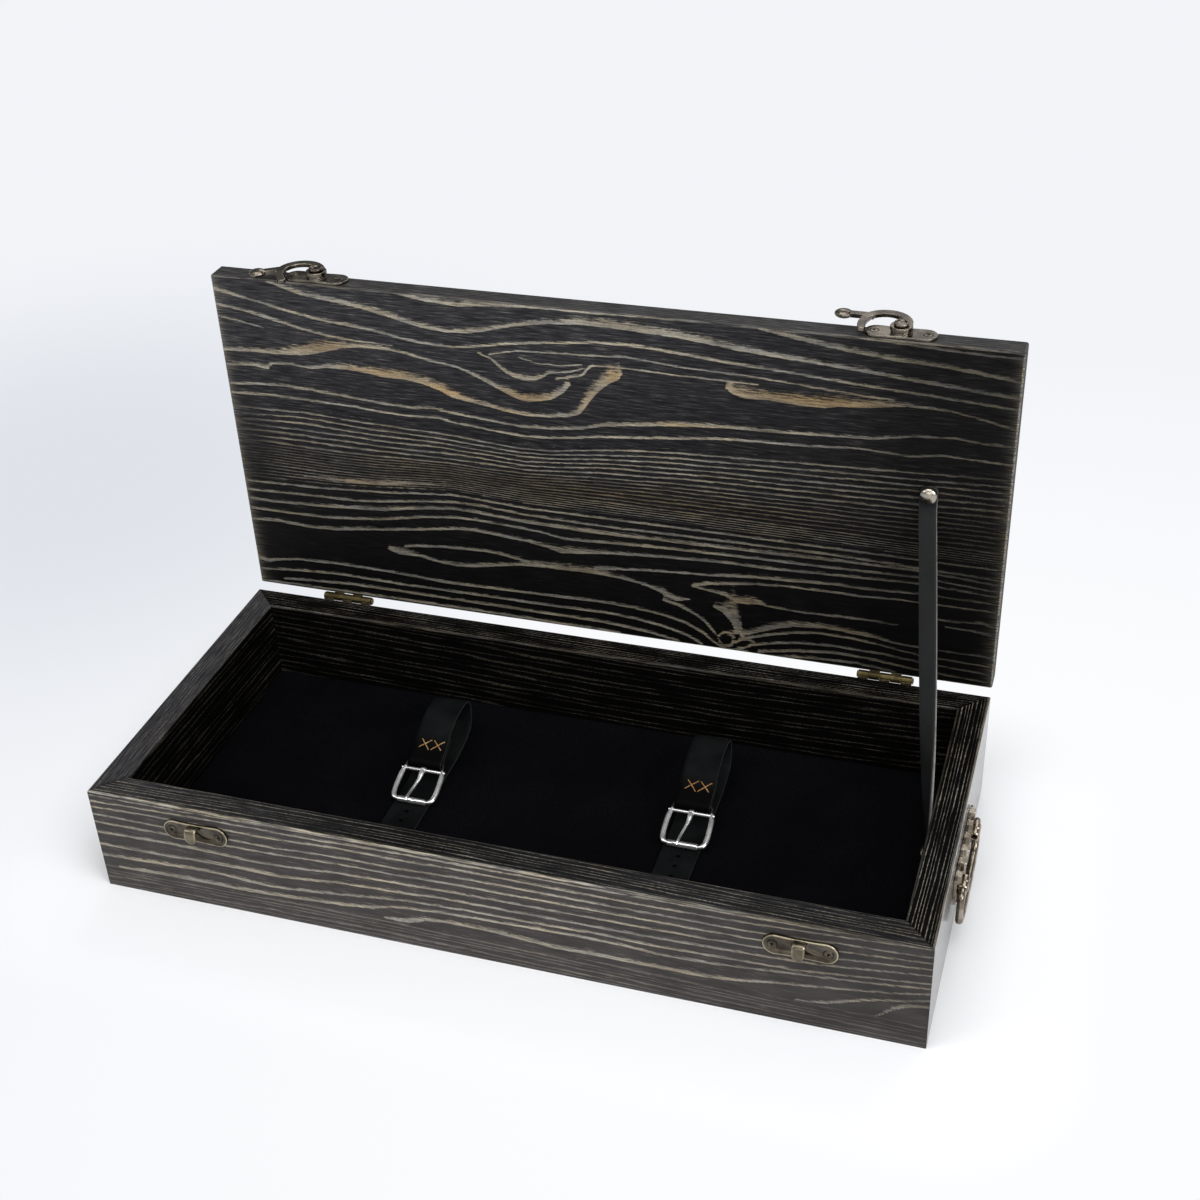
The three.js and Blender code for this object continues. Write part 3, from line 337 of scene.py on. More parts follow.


# %% [markdown]
# ## Drawing the grain
# Flat-sawn pine that has been brushed and stained shows its rings as raised pale lines on black. A noise
# texture alone can't give this board's own sweeps, loops and knot, so the bold lines are drawn as the
# wood's maker would see them: points of the line's lower edge, with its thickness at each point.
# Each vertex of the board then learns how deep inside a line it lies, and the material makes the ragged
# edge.

# %% Lines of the lid
# Each point is distance from the left end, distance below the top edge, and thickness
LID_LINES = [
    [(120, 0, 2), (145, 4, 3.5), (165, 5, 3.5), (185, 3, 2.5), (215, 1.5, 2), (250, 1.5, 2), (300, 0, 2)],
    [(38, 1, 2), (60, 7.5, 4), (80, 10, 3.5), (100, 12.5, 3.5), (120, 17, 4), (140, 21.5, 3.5),
     (155, 23, 3), (170, 22, 3), (180, 20, 2.8), (200, 14.5, 2.8), (220, 11, 3.5), (240, 9.3, 5),
     (260, 9.3, 6), (300, 11.3, 5.5), (320, 13.5, 5), (340, 16, 4.5), (360, 17.5, 3.5), (400, 20.5, 2.6),
     (450, 25, 2.4), (500, 29, 2.4)],
    [(350, 1, 2), (370, 5, 4), (400, 9.5, 3.5), (430, 12.5, 3), (460, 14, 2.6), (500, 19, 2.8)],
    [(395, 0, 1), (430, 2, 1.5), (470, 4, 1.6), (500, 4.5, 1.4)],
    [(0, 10, 3.5), (30, 15.5, 1.8), (50, 20, 1.8), (70, 23.5, 2), (90, 25.5, 2.2), (110, 27.8, 2.4),
     (125, 30.5, 1.6), (140, 32.5, 1.7), (160, 33, 1.7), (175, 31, 1.6), (190, 28, 1.6), (210, 25, 1.7),
     (230, 22.8, 1.6), (250, 20.5, 1.7), (270, 19.8, 2.2), (290, 21, 2), (330, 24.5, 1.8), (370, 27, 1.8),
     (410, 30.2, 1.6), (450, 32.5, 1.6), (500, 36, 1.6)],
    [(0, 20, 1.8), (20, 22.5, 1.8), (35, 26, 2.4), (55, 30.5, 2), (75, 34, 1.6), (95, 35.5, 1),
     (120, 36, 0.6)],
    [(0, 28, 1.6), (15, 30, 1.2), (32, 33, 0.7)],
    [(183, 35, 0.8), (200, 31, 1), (215, 30.3, 1), (250, 29, 1.3), (270, 27.7, 1.3), (300, 30.3, 1),
     (350, 32, 1.1), (400, 36, 1.3), (430, 37.5, 1.2)],
    [(202, 35, 0.7), (215, 38, 0.9), (230, 37.5, 0.9), (242, 35.5, 0.7)],
    [(0, 51.5, 4), (20, 50.3, 3), (40, 50, 3.5), (55, 49, 8), (65, 47, 9), (75, 44, 7.5), (85, 41, 5),
     (95, 39.5, 3), (110, 39, 2.6), (125, 40, 2), (145, 44, 1.8), (160, 46, 1.8), (170, 49.5, 2),
     (180, 54, 2.8), (190, 59, 4), (200, 63, 5), (207, 64, 5.5), (215, 62.5, 5.5), (222, 60.5, 5),
     (230, 55, 4.5), (234, 50, 3.5)],
    [(176, 35, 1.2), (184, 38, 1.4), (188, 42, 1.8), (193, 46, 2.6), (198, 48.5, 3.4), (205, 49.5, 3.6),
     (212, 49, 3.2), (217, 46.5, 2.4), (221, 43.5, 1.6), (235, 41, 1), (243, 38, 0.8)],
    [(225, 47, 1.2), (235, 44.5, 1.4), (242, 43, 1.6), (247, 37, 1.6), (250, 35, 1)],
    [(0, 62, 2.6), (20, 60, 2.8), (31, 61.5, 3), (34, 57.5, 1.8), (48, 56.5, 1.8), (60, 58, 1.8),
     (72, 56, 2.8), (85, 55.5, 4.4), (100, 56.5, 5), (110, 58, 6.5), (125, 58, 6.6), (138, 60, 6),
     (148, 63, 6), (155, 66.5, 6), (165, 68.5, 4.5), (180, 70.5, 3), (190, 72.5, 2.6), (205, 74, 2.6),
     (220, 73, 2.6), (232, 71.5, 3), (239, 69, 5), (243, 64, 6), (247, 58, 6), (251, 53, 6), (255, 49, 8),
     (260, 45, 10), (265, 42.5, 8), (267, 39, 3)],
    [(250, 35.4, 0.8), (262, 34.8, 1.2), (300, 36, 0.9), (330, 36.2, 0.9), (350, 36.4, 0.7)],
    [(331, 41, 4), (335, 44, 7), (342, 46, 8), (355, 45.5, 7), (365, 46, 6.5), (375, 47, 7.5),
     (390, 46.5, 8), (397, 44.7, 7), (415, 43.5, 6), (425, 42, 4.5), (437, 40, 2.2), (460, 40.5, 1.2),
     (480, 44, 1.2), (500, 49, 2.2)],
    [(0, 75.5, 1.8), (20, 73.5, 2), (40, 72.8, 2), (60, 73.5, 1.8), (110, 77.5, 1.8), (128, 78, 2),
     (142, 76.5, 1.6), (155, 78.5, 1.8), (200, 82.3, 1.7), (220, 81.5, 1.9), (240, 79, 2.2),
     (255, 75, 2.8), (270, 73, 2.6), (290, 70.5, 3.2), (310, 68.5, 3.4), (330, 67, 2.4), (370, 66, 2.2),
     (400, 64.5, 1.8), (420, 63.5, 2), (440, 59.5, 1.5), (465, 57.5, 1.1), (480, 59, 1.3),
     (500, 59.5, 1.6)],
    [(0, 82, 1.8), (30, 80.5, 1.8), (90, 82, 1.5), (105, 83.5, 1.4), (125, 84, 1.5), (145, 83, 1.4),
     (155, 85, 1.5), (200, 89, 1.5), (215, 88.5, 1.5), (235, 86, 1.6), (250, 83.5, 1.6), (290, 79.5, 1.7),
     (330, 75, 1.8), (380, 73.3, 1.6), (410, 71, 1.5), (440, 72.5, 1.4), (460, 69.5, 1.3),
     (500, 71, 1.2)],
    [(45, 138, 1), (65, 138, 2.4), (85, 138, 3.6), (100, 137, 3.8), (112, 134.8, 3), (130, 132.5, 1.2),
     (150, 131, 0.8)],
    [(0, 147, 1.4), (50, 146, 1.6), (100, 143, 1.5), (150, 138, 1.4), (200, 141, 1.5), (300, 141, 1.6),
     (400, 141.5, 1.5), (500, 142, 1.2)],
    [(0, 154, 1.8), (50, 152.5, 1.8), (80, 152, 1.8), (100, 150, 1.8), (130, 145.5, 1.6),
     (150, 143.5, 1.6), (170, 143.5, 1.6), (200, 146, 1.6), (250, 147, 1.6), (300, 146.5, 1.7),
     (400, 146, 1.6), (500, 149, 1.2)],
    [(0, 161, 2), (20, 161, 2.2), (50, 160, 2.6), (80, 158, 3), (100, 156.5, 3.4), (120, 152.5, 2.6),
     (150, 148.5, 2.4), (165, 149, 2.4), (200, 151.5, 2.6), (250, 152.5, 3), (300, 151.5, 2.6),
     (350, 151, 2.4), (400, 150, 2.2), (450, 149.5, 1.8), (500, 153, 1.4)],
    [(0, 168, 1.6), (30, 168.5, 2), (60, 168, 2), (80, 166, 2), (100, 163.5, 2), (130, 157.5, 1.9),
     (150, 155, 1.9), (165, 154.8, 1.9), (190, 156, 1.8), (210, 157.5, 1.7), (225, 160.2, 1.7),
     (240, 159.7, 2.2), (260, 158.4, 2.2), (300, 157, 2), (350, 156, 2), (400, 155.5, 1.9),
     (450, 154, 1.4), (500, 157.5, 1.2)],
    [(0, 177, 1.8), (20, 176, 2.4), (45, 177.5, 2.4), (65, 176.4, 2.8), (80, 174, 2.6), (100, 171.5, 2.3),
     (130, 167, 2), (150, 163.6, 2.2), (165, 163, 2.8), (185, 164.5, 2.4), (200, 165.7, 2.6),
     (212, 168, 2.8), (222, 170.5, 5), (232, 169.6, 5), (250, 167, 3), (275, 164.9, 2.2), (300, 163.4, 2),
     (330, 161.9, 2), (360, 161.9, 2), (400, 160.4, 1.8), (450, 158.5, 1.4), (500, 161, 1.2)],
    [(100, 186, 3), (106, 188.5, 6), (113, 188.5, 5), (122, 188.5, 2.4), (135, 191, 2.6), (148, 192, 3),
     (160, 191, 3.2), (175, 188, 2.8), (190, 185, 2.4), (205, 183.5, 4.5), (222, 183.3, 5),
     (245, 183, 5.4), (262, 184, 2.6), (275, 186, 2), (285, 189, 3), (292, 193, 5), (298, 195, 4),
     (307, 193, 1.4)],
    [(112, 182.5, 2), (125, 180.5, 2), (140, 179, 2), (155, 178.3, 2.2), (170, 177.6, 2.2),
     (180, 178.4, 2.2), (190, 180, 2.4), (200, 181.5, 2.4)],
    [(245, 179.5, 3), (262, 177.5, 2), (280, 175.4, 1.6), (300, 174, 1.6), (320, 172.8, 1.6),
     (330, 172, 2.4), (345, 170.3, 2.8), (380, 168.4, 2.4), (400, 167.2, 2.2), (420, 167.6, 2),
     (450, 165.8, 1.4), (500, 166, 1.2)],
    [(309, 182.5, 3), (320, 179.4, 2.4), (335, 177, 2), (350, 174.8, 1.8), (370, 173.4, 1.5),
     (400, 173, 1.6), (415, 173.3, 1.5), (440, 171.8, 1.2), (500, 172, 1.2)],
    [(309, 182.8, 1.8), (320, 184.3, 2), (330, 186, 3), (338, 190, 5.5), (346, 190, 6), (352, 189, 4.5),
     (358, 190, 1.4), (380, 191, 1.4), (400, 190.5, 1.8), (420, 190, 1.4), (440, 190.5, 1)],
    [(290, 196.5, 3.4), (300, 199, 2.4), (310, 203.5, 2.2), (317, 208.5, 2.2), (322, 214.5, 2),
     (325, 217.6, 1.8)],
    [(323, 196, 3), (329, 199, 6), (334, 205, 11), (338, 212, 14), (342, 216, 8)],
    [(326, 219, 1), (327.2, 216.6, 1.4), (329.4, 214.9, 1.8), (332, 214.4, 2), (334.6, 215.3, 2.4),
     (336.6, 217.4, 2.6)],
    [(326, 220, 1), (327.4, 223.6, 1.4), (329.8, 225.2, 1.4), (332.4, 225.3, 1.6), (335, 223.9, 1.6),
     (337.2, 220.4, 1.6)],
    [(338, 221, 2), (341, 218.6, 3), (345, 217.6, 2.4), (350, 218.6, 1.4)],
    [(338, 225.6, 1.4), (343, 224.4, 1.6), (347, 222.4, 1.4)],
    [(336, 214, 5), (345, 213.5, 4), (355, 209, 4.5), (365, 205, 5), (375, 202, 4.6), (395, 200, 4),
     (410, 201, 3.4), (425, 202, 3), (440, 204.5, 1.4), (470, 205, 1), (500, 205, 1.6)],
    [(8, 208, 1), (30, 205, 1.6), (60, 204, 2.2), (100, 204.6, 2), (140, 206.7, 2), (180, 206, 2),
     (215, 205.4, 2), (250, 204.6, 2), (270, 205.6, 2), (290, 208, 2.2), (305, 212, 2.2), (315, 217, 2.2),
     (321, 222, 2), (328, 226.4, 1.6), (336, 227, 1.4), (346, 226.6, 1.2)],
    [(0, 217, 1.6), (15, 215.5, 2), (30, 214, 2), (60, 212.3, 2), (100, 213.3, 2), (200, 213.2, 2),
     (250, 212.7, 2), (270, 213.8, 2), (290, 217, 2.2), (305, 221, 2.2), (316, 227, 2)],
    [(18, 222.5, 1.8), (40, 221, 2), (70, 219.2, 2.2), (100, 219.2, 2.2), (200, 219.9, 2.2),
     (250, 220.3, 2.2), (280, 223, 2.2), (300, 227, 2)],
    [(0, 226, 1.6), (100, 225.4, 1.8), (200, 226, 2), (260, 227, 2)],
    [(344, 217, 2), (360, 211.4, 2), (375, 207.4, 2), (390, 205, 1.8), (410, 205.3, 1.6),
     (430, 207.3, 1.4), (455, 211, 1.2), (500, 212, 1.2)],
    [(346, 222, 2), (365, 217, 2), (380, 214.4, 2), (400, 213.2, 1.8), (430, 213.8, 1.6), (455, 216, 1.3),
     (500, 218, 1.2)],
    [(352, 226, 2), (375, 221.4, 2.2), (400, 218.4, 2), (420, 218.7, 1.8), (455, 222, 1.4),
     (500, 224, 1.3)],
    [(360, 228, 2), (385, 224.8, 2), (415, 223.7, 1.8), (440, 226, 1.4)],
    [(455, 182.5, 1), (475, 182.5, 1.4), (490, 181, 1.8), (500, 184, 3)],
    [(468, 187, 1), (485, 187.5, 1.6), (500, 190, 4)],
    [(0, 208.5, 3.4), (9, 210, 3), (16, 207.5, 2), (26, 206, 1)],
]

print("bold lines on the lid:", len(LID_LINES))

# %% [markdown]
# ## The front board's lines
# The front board was cut from calmer wood. Its lines run almost straight and rise towards its right end,
# where they lie thinner and closer together.

# %% Lines of the front board
# Each point is distance from the left end, distance below the top edge, and thickness
FRONT_LINES = [
    [(0, 3.4, 1), (60, 2.8, 0.9), (120, 1.6, 0.8), (200, 0.6, 0.6)],
    [(0, 8, 1.4), (30, 7, 1.3), (90, 5.6, 1.3), (150, 5.6, 1.5), (165, 4.6, 1.5), (200, 4, 1.6),
     (250, 3.5, 1.3), (300, 3.1, 1.2), (400, 2, 1.1), (450, 1, 1)],
    [(0, 12.5, 1.4), (40, 11, 1.3), (120, 11, 1.4), (140, 10, 1.6), (155, 9, 1.6), (200, 9, 1.6),
     (230, 8, 1.7), (300, 8.3, 1.8), (350, 8, 1.3), (400, 6.6, 1.2), (430, 5, 1.2), (450, 4, 1.2),
     (470, 2.6, 1), (500, 0.5, 1)],
    [(0, 18, 1.4), (40, 18, 1.3), (120, 18, 1.3), (140, 16.6, 1.3), (165, 15.6, 1.3), (200, 15.5, 1.3),
     (230, 14, 1.4), (260, 13.6, 1.6), (300, 13.5, 1.6), (350, 13, 1.2), (400, 12.5, 1.1), (450, 9, 1.2),
     (480, 7.6, 1), (500, 6.5, 1)],
    [(0, 24, 1.6), (50, 23.5, 1.5), (115, 23.2, 1.5), (135, 22, 1.4), (160, 21, 1.4), (200, 20.6, 1.3),
     (230, 19.6, 1.5), (260, 19.5, 1.6), (300, 18.9, 1.6), (350, 18.5, 1.6), (400, 17.6, 1.2),
     (450, 14.6, 1.2), (500, 10.6, 1.1)],
    [(0, 32, 2), (50, 30.6, 2.4), (80, 31, 2.2), (100, 32, 1.8), (120, 31.5, 1.6), (140, 30, 1.6),
     (160, 28, 1.7), (200, 27, 1.8), (230, 26, 1.8), (260, 25.6, 1.7), (300, 25, 1.6), (350, 24.5, 1.6),
     (400, 23.2, 1.3), (430, 22, 1.2), (450, 20, 1.2), (480, 17, 1.1), (500, 15, 1)],
    [(0, 41.6, 2), (50, 41, 2.2), (75, 39.6, 2.6), (95, 39.6, 3), (120, 40, 2.4), (140, 38, 1.8),
     (160, 35.6, 1.8), (180, 34.6, 2), (200, 34, 2.2), (220, 32.2, 2), (280, 31.6, 1.8), (350, 30.6, 1.8),
     (400, 29, 1.5), (430, 27.6, 1.4), (450, 26, 1.3), (480, 22, 1.2), (500, 19.6, 1.1)],
    [(0, 50.2, 2.6), (20, 49.6, 2.8), (50, 48.2, 2.8), (70, 47, 2.6), (85, 47.6, 2.4), (105, 49.2, 2.4),
     (120, 49, 2.2), (140, 47, 2), (160, 44.6, 2), (180, 42, 1.8), (200, 39.6, 1.8), (235, 38, 1.6),
     (290, 37, 1.8), (320, 36, 1.9), (345, 37, 1.9), (400, 35.2, 1.6), (430, 34, 1.4), (450, 31.6, 1.4),
     (470, 29, 1.3), (500, 25.6, 1.2)],
    [(10, 58, 1.6), (30, 57.2, 2.6), (50, 56.8, 3.2), (100, 56.4, 3), (130, 54.8, 2.8), (150, 53.4, 2.8),
     (165, 52, 2.6), (180, 50, 2.4), (190, 46.8, 2), (200, 45.2, 1.8), (220, 43.6, 1.8), (260, 42.2, 2),
     (290, 41.3, 2.2), (330, 41, 1.9), (350, 42.8, 2), (380, 41.8, 1.9), (400, 40, 1.6), (430, 37, 1.5),
     (450, 35, 1.4), (470, 33, 1.3), (500, 29, 1.2)],
    [(185, 56, 1.4), (192, 56.4, 3), (200, 56.2, 4), (207, 54, 4), (212, 51.6, 3), (225, 50.4, 2.8),
     (245, 50, 3), (260, 51, 3.2), (275, 52, 3.2), (290, 53.4, 3.4), (310, 52.8, 3.2), (340, 52.8, 3),
     (370, 53, 3.4), (385, 52, 3), (400, 50, 2.4), (415, 47, 2), (430, 45, 1.8), (440, 43.6, 1.6),
     (460, 40.6, 1.5), (480, 37.6, 1.3), (500, 33, 1.3)],
    [(428, 56.4, 1), (437, 55.8, 1.8), (446, 54, 2.2), (455, 51, 2.2), (465, 47, 2), (475, 44, 1.6),
     (485, 41.8, 1.4), (500, 38, 1.2)],
    [(472, 56.6, 1.4), (476, 54, 2.4), (481, 49.6, 3), (487, 46, 3), (494, 44, 2.6), (500, 43, 2.4)],
]
print("bold lines on the front board:", len(FRONT_LINES))

# %% [markdown]
# ## From lines to numbers on the wood
# Inside a line the number is above one half. It falls steeply past the lower edge, where brushing leaves
# a clean step, and slowly towards the upper edge, where the pale wood fades into the dark. Between the
# bold lines lie fine even rings, and for these a ring number that grows steadily from line to line is
# enough.

# %% Depth inside a line
CRISP_EDGE = 0.9
LINE_END_FADE, LINE_END_DROP = 6.0, 3


def line_depth(lines, along, down):
    """At points along and down: 1 on a line's lower edge, 0.5 at its borders, less outside."""
    deepest = np.full(len(along), -1.0)
    for line in lines:
        stops, lows, widths = (np.array(part, float) for part in zip(*line))
        low = np.interp(along, stops, lows)
        width = np.interp(along, stops, widths)
        slope = (np.interp(along + 1, stops, lows) - np.interp(along - 1, stops, lows)) / 2
        upright = 1 / np.sqrt(1 + slope**2)
        past = (down - low) * upright
        before = (low - down) * upright
        level = np.minimum(1 - np.maximum(past, 0) / CRISP_EDGE, 1 - np.maximum(before, 0) / (2 * width))
        outside = np.maximum(np.maximum(stops[0] - along, along - stops[-1]), 0)
        deepest = np.maximum(deepest, level - outside / LINE_END_FADE * LINE_END_DROP)
    return np.clip(deepest, -1, 1)


def fine_rings(along, down, marks):
    """Ring number between a few named levels: marks are (number, [(along, down), ...])."""
    heights = np.array([np.interp(along, *zip(*points)) for _, points in marks])
    numbers = [float(number) for number, _ in marks]
    rings = np.zeros(len(along))
    for k in range(len(marks) - 1):
        top, bottom = heights[k], heights[k + 1]
        width = (bottom - top) / (numbers[k + 1] - numbers[k])
        rings = np.where((down >= top) & (down < bottom), numbers[k] + (down - top) / width, rings)
    return rings


print("a drawn line fades over", LINE_END_FADE, "mm at its ends")

# %% [markdown]
# ## The stained wood
# The stain soaks black into the soft wood and slides off the hard rings, which the wire brush leaves
# raised. One material serves every board: it reads the drawn lines, adds fine even rings where the board
# has them, breaks every edge with noise stretched along the grain, and lifts the pale wood by a sixth of
# a millimetre.

# %% Wood colours
STAIN = (0.0014, 0.0013, 0.0012)
STAIN_WORN = (0.044, 0.039, 0.038)
# Painted sheen: the grey that a glossy reflection lays over the black stain, painted into its colour; the
# warm grey is for the front board, whose sheen is the floor's reflection
SHEEN_GREY = (0.040, 0.040, 0.044)
SHEEN_WARM = (0.060, 0.052, 0.052)
PALE = (0.56, 0.49, 0.36)
PALE_GREY = (0.44, 0.42, 0.37)
TAN = (0.62, 0.41, 0.17)
print("pale wood is", round(sum(PALE) / sum(STAIN)), "times as bright as the stain")

# %% Wood finish
LINE_SHAKE, RING_WANDER = 1.5, 0.7


def wood_noises(wood, grain):
    """Noises stretched along the grain, from the finest fibre to the broadest patch."""
    fibre = wood.noise(wood.place((0.06, 1.05, 1.05), grain), detail=3, roughness=0.7)
    ragged = wood.noise(wood.place((0.13, 1.15, 1.15), grain), detail=4, roughness=0.72)
    sweep = wood.noise(wood.place((0.02, 0.12, 0.12), grain))
    patch = wood.noise(wood.place((0.035, 0.09, 0.09), grain))
    bead = wood.noise(wood.place((0.55, 0.8, 0.8), grain))
    return fibre, ragged, sweep, patch, bead


def stained_wood(name, worn, line_gain, fibre_gain, gloss, patchy=0.6, rough=(0.44, 0.6), line_from=0.58,
                 torn=0.75, relief=0.16, coat=0.0, beads=0.8, sheen_color=SHEEN_GREY):
    """Gains say how pale lines and fibres are. Torn is how far noise moves a ring's edges, and patchy and
    beads are the least strength that a dark patch or a dark bead leaves to a line."""
    wood = Finish(name, Specular_IOR_Level=gloss, Coat_Weight=coat, Coat_Roughness=0.12)
    fibre, ragged, sweep, patch, bead = wood_noises(wood, wood.stored("grain", "Vector"))
    # Drawn lines: the noise moves their soft border much and their crisp border little
    drawn = wood.span(wood.shaken(wood.stored("line_depth"), ragged, LINE_SHAKE), 0.50, 0.80)
    # Even rings: the share of a ring since the last line gives a line with one crisp and one soft border
    wavy = wood.shaken(wood.stored("rings"), sweep, RING_WANDER)
    share = wood.math("FRACT", wood.shaken(wavy, ragged, torn))
    ring = wood.times(wood.span(share, line_from, 0.84), wood.span(share, 0.92, 1.0, 1.0, 0.0))
    pale = wood.larger(drawn, wood.times(ring, wood.stored("ring_gain")))
    # How pale: less in dark patches, fibres and beads, as clear as the board says, and fibres pale where the
    # board has painted sheen
    strength = wood.times(wood.span(patch, 0.3, 0.68, patchy, 1.0), wood.span(fibre, 0.3, 0.62, 0.4, 1.0))
    strength = wood.times(strength, wood.span(bead, 0.36, 0.58, beads, 1.0))
    strength = wood.times(strength, wood.times(wood.stored("clear"), line_gain))
    sheen_fibres = wood.times(wood.span(fibre, 0.55, 0.8), wood.times(wood.stored("haze"), fibre_gain))
    # Rubbed edges are wear; on the case's outer top edges they are also a painted highlight of the rounded
    # edge
    rubbed = wood.times(wood.stored("rub"), wood.span(fibre, 0.38, 0.66, 0.1, 0.6))
    mask = wood.larger(wood.times(pale, strength), wood.larger(sheen_fibres, rubbed))
    # Colour: black stain, thinner in places and greyed by painted sheen, with grey to cream rings and tan
    # where the cut grazes a ring
    haze = wood.times(wood.stored("haze"), wood.span(fibre, 0.32, 0.68, 0.35, 1.45))
    thin = wood.times(wood.span(patch, 0.3, 0.75, 0.4, 1.0), worn)
    stain = wood.blend(haze, wood.blend(thin, STAIN, STAIN_WORN), sheen_color)
    bright = wood.blend(wood.span(sweep, 0.35, 0.65), PALE_GREY, PALE)
    bright = wood.blend(wood.times(wood.stored("tan"), 0.85), bright, TAN)
    normal = wood.bump(wood.math("ADD", pale, wood.times(fibre, 0.55)), relief * MM, 0.7)
    roughness = wood.span(fibre, 0.3, 0.7, *rough)
    return wood.finish(wood.blend(mask, stain, bright), roughness, normal)


lid_wood = stained_wood("stained_wood_lid", worn=0.03, line_gain=0.88, fibre_gain=0.35, gloss=0.04)
front_wood = stained_wood("stained_wood_front", worn=0.85, line_gain=0.9, fibre_gain=0.5, gloss=0.15,
                          sheen_color=SHEEN_WARM)
case_wood = stained_wood("stained_wood_case", worn=0.02, line_gain=0.75, fibre_gain=0.35, gloss=0.015,
                         patchy=0.1, line_from=0.72, torn=0.3, beads=0.3)
outer_wood = stained_wood("stained_wood_outside", worn=0.4, line_gain=0.45, fibre_gain=0.15, gloss=0.9,
                          rough=(0.16, 0.26), relief=0.06, coat=0.35)
print("nodes in the lid's wood:", len(lid_wood.node_tree.nodes))

# %% [markdown]
# ## Boards as fine grids
# A board needs many small faces for the numbers it carries, and softly rounded edges as a sanded board
# has. A box cut into a grid does both: points near an edge are pulled onto a circle round the edge's
# centre.

# %% Grid helpers
EDGE_RADIUS = 1.4
ROUND_STOPS = (0.0, math.tan(math.radians(22.5)), 1.0)


def stops(low, high, radius, bands):
    """Places from low to high: some on each rounded edge, and between them steps as the bands say."""
    inner_low, inner_high = low + radius, high - radius
    first = [inner_low - radius * s for s in reversed(ROUND_STOPS)]
    last = [inner_high + radius * s for s in ROUND_STOPS]
    middle = []
    at = inner_low
    for until, step in bands:
        end = min(until, inner_high)
        count = max(1, round((end - at) / step))
        middle += [at + (end - at) * k / count for k in range(1, count + 1)]
        at = end
    return np.array(first + middle[:-1] + last)


def grid_box(xs, ys, zs, radius):
    """Points and faces of a box with rounded edges whose surface is cut at the given places."""
    sizes = (len(xs), len(ys), len(zs))
    ids = np.full(sizes, -1)
    skin = np.ones(sizes, bool)
    skin[1:-1, 1:-1, 1:-1] = False
    ids[skin] = np.arange(skin.sum())
    x, y, z = np.meshgrid(xs, ys, zs, indexing="ij")
    points = np.stack([x[skin], y[skin], z[skin]], 1)
    low = np.array([xs[0], ys[0], zs[0]]) + radius
    high = np.array([xs[-1], ys[-1], zs[-1]]) - radius
    centre = np.clip(points, low, high)
    out = points - centre
    points = centre + out * (radius / np.linalg.norm(out, axis=1))[:, None]
    faces = []
    for axis in range(3):
        for end, flip in ((0, True), (-1, False)):
            sheet = np.take(ids, end, axis=axis)
            corners = [sheet[:-1, :-1], sheet[1:, :-1], sheet[1:, 1:], sheet[:-1, 1:]]
            if flip != (axis == 1):
                corners.reverse()
            faces.append(np.stack([c.ravel() for c in corners], 1))
    return points, np.concatenate(faces)


print("a rounded edge has", len(ROUND_STOPS), "stops")

# %% [markdown]
# ## The lid
# The lid is one board, fifteen millimetres thick, standing open against its hinges. Its inner face,
# towards the camera, carries the drawn lines; the other faces get plain even rings that run on from it.
# The hinge leaves are let into its lower edge, so the board reaches down a little past them. A plain box
# with a picture on it would be quicker. The fine grid is chosen because each of its points can know
# which line it lies in.

# %% Lid board
LEAF_LET_IN = 1.2
LID_LENGTH, LID_HEIGHT, LID_THICK = 500.0, 226.5 + LEAF_LET_IN, 15
FINE_FROM, FINE_TO = 90, 132

lid_low, lid_high = box_of("lid_panel")
lid_low[2] -= LEAF_LET_IN
along_bands = [(-75, 2.0), (20, 1.4), (50, 2.0), (115, 1.4), (250, 2.0)]
height_bands = [(lid_high[2] - FINE_TO, 0.7), (lid_high[2] - FINE_FROM, 1.3), (lid_high[2], 0.7)]
lid_x = stops(lid_low[0], lid_high[0], EDGE_RADIUS, along_bands)
lid_y = stops(lid_low[1], lid_high[1], EDGE_RADIUS, [(lid_high[1], 2.0)])
lid_z = stops(lid_low[2], lid_high[2], EDGE_RADIUS, height_bands)
points, faces = grid_box(lid_x, lid_y, lid_z, EDGE_RADIUS)
lid_board = piece("lid_board", points, faces, lid_wood, "lid", ["lid_panel"], "stained_wood")

along = points[:, 0] - lid_low[0]
depth = points[:, 1] - lid_low[1]
down = lid_high[2] - points[:, 2]
face = depth < 0.3
store(lid_board, "grain", np.stack([along, down, depth], 1))
print("lid board:", len(points), "vertices,", int(face.sum()), "of them on its inner face")

# %% [markdown]
# ## The lid's lines and knot
# At the lid's foot a dead knot has fallen out and left a small hole, ringed by hard pale wood. Lines
# stop at the hole, and one thin ring goes round it, a little stronger on one side. A modelled hole would
# need the grid cut round it, so the hole is left to the same numbers that darken the wood between the
# lines.

# %% Lines and knot on the lid
KNOT, KNOT_RADIUS = (331.5, 219.6), 3.4
KNOT_SQUASH, KNOT_BORDER = 1.1, 1.5
RING_OFF, RING_FADE = 0.9, 1.8
EDGE_DROP = 1.2

level = line_depth(LID_LINES, along, down)
knot_distance = np.hypot(along - KNOT[0], (down - KNOT[1]) * KNOT_SQUASH)
round_knot = np.arctan2(down - KNOT[1], along - KNOT[0])
off_ring = np.abs(knot_distance - KNOT_RADIUS - RING_OFF) / RING_FADE
ring_round_knot = 0.72 + 0.28 * np.cos(round_knot - 0.5) - off_ring
in_hole = (knot_distance - KNOT_RADIUS) / KNOT_BORDER
level = np.where(knot_distance < KNOT_RADIUS, np.minimum(level, in_hole), level)
level = np.maximum(level, ring_round_knot)
store(lid_board, "line_depth", np.where(face, level, level - depth * EDGE_DROP))
print("share of the lid's face inside a line:", round(float((level[face] > 0.5).mean()), 2))

# %% [markdown]
# ## The lid's fine rings
# Across its middle the lid was sawn nearly square to the rings, so they stand close and even there. They
# are numbered between four drawn levels. The other faces have plain rings, swept by a few slow waves.
# They could be drawn one by one, but numbering them between levels takes far fewer points and keeps them
# even.

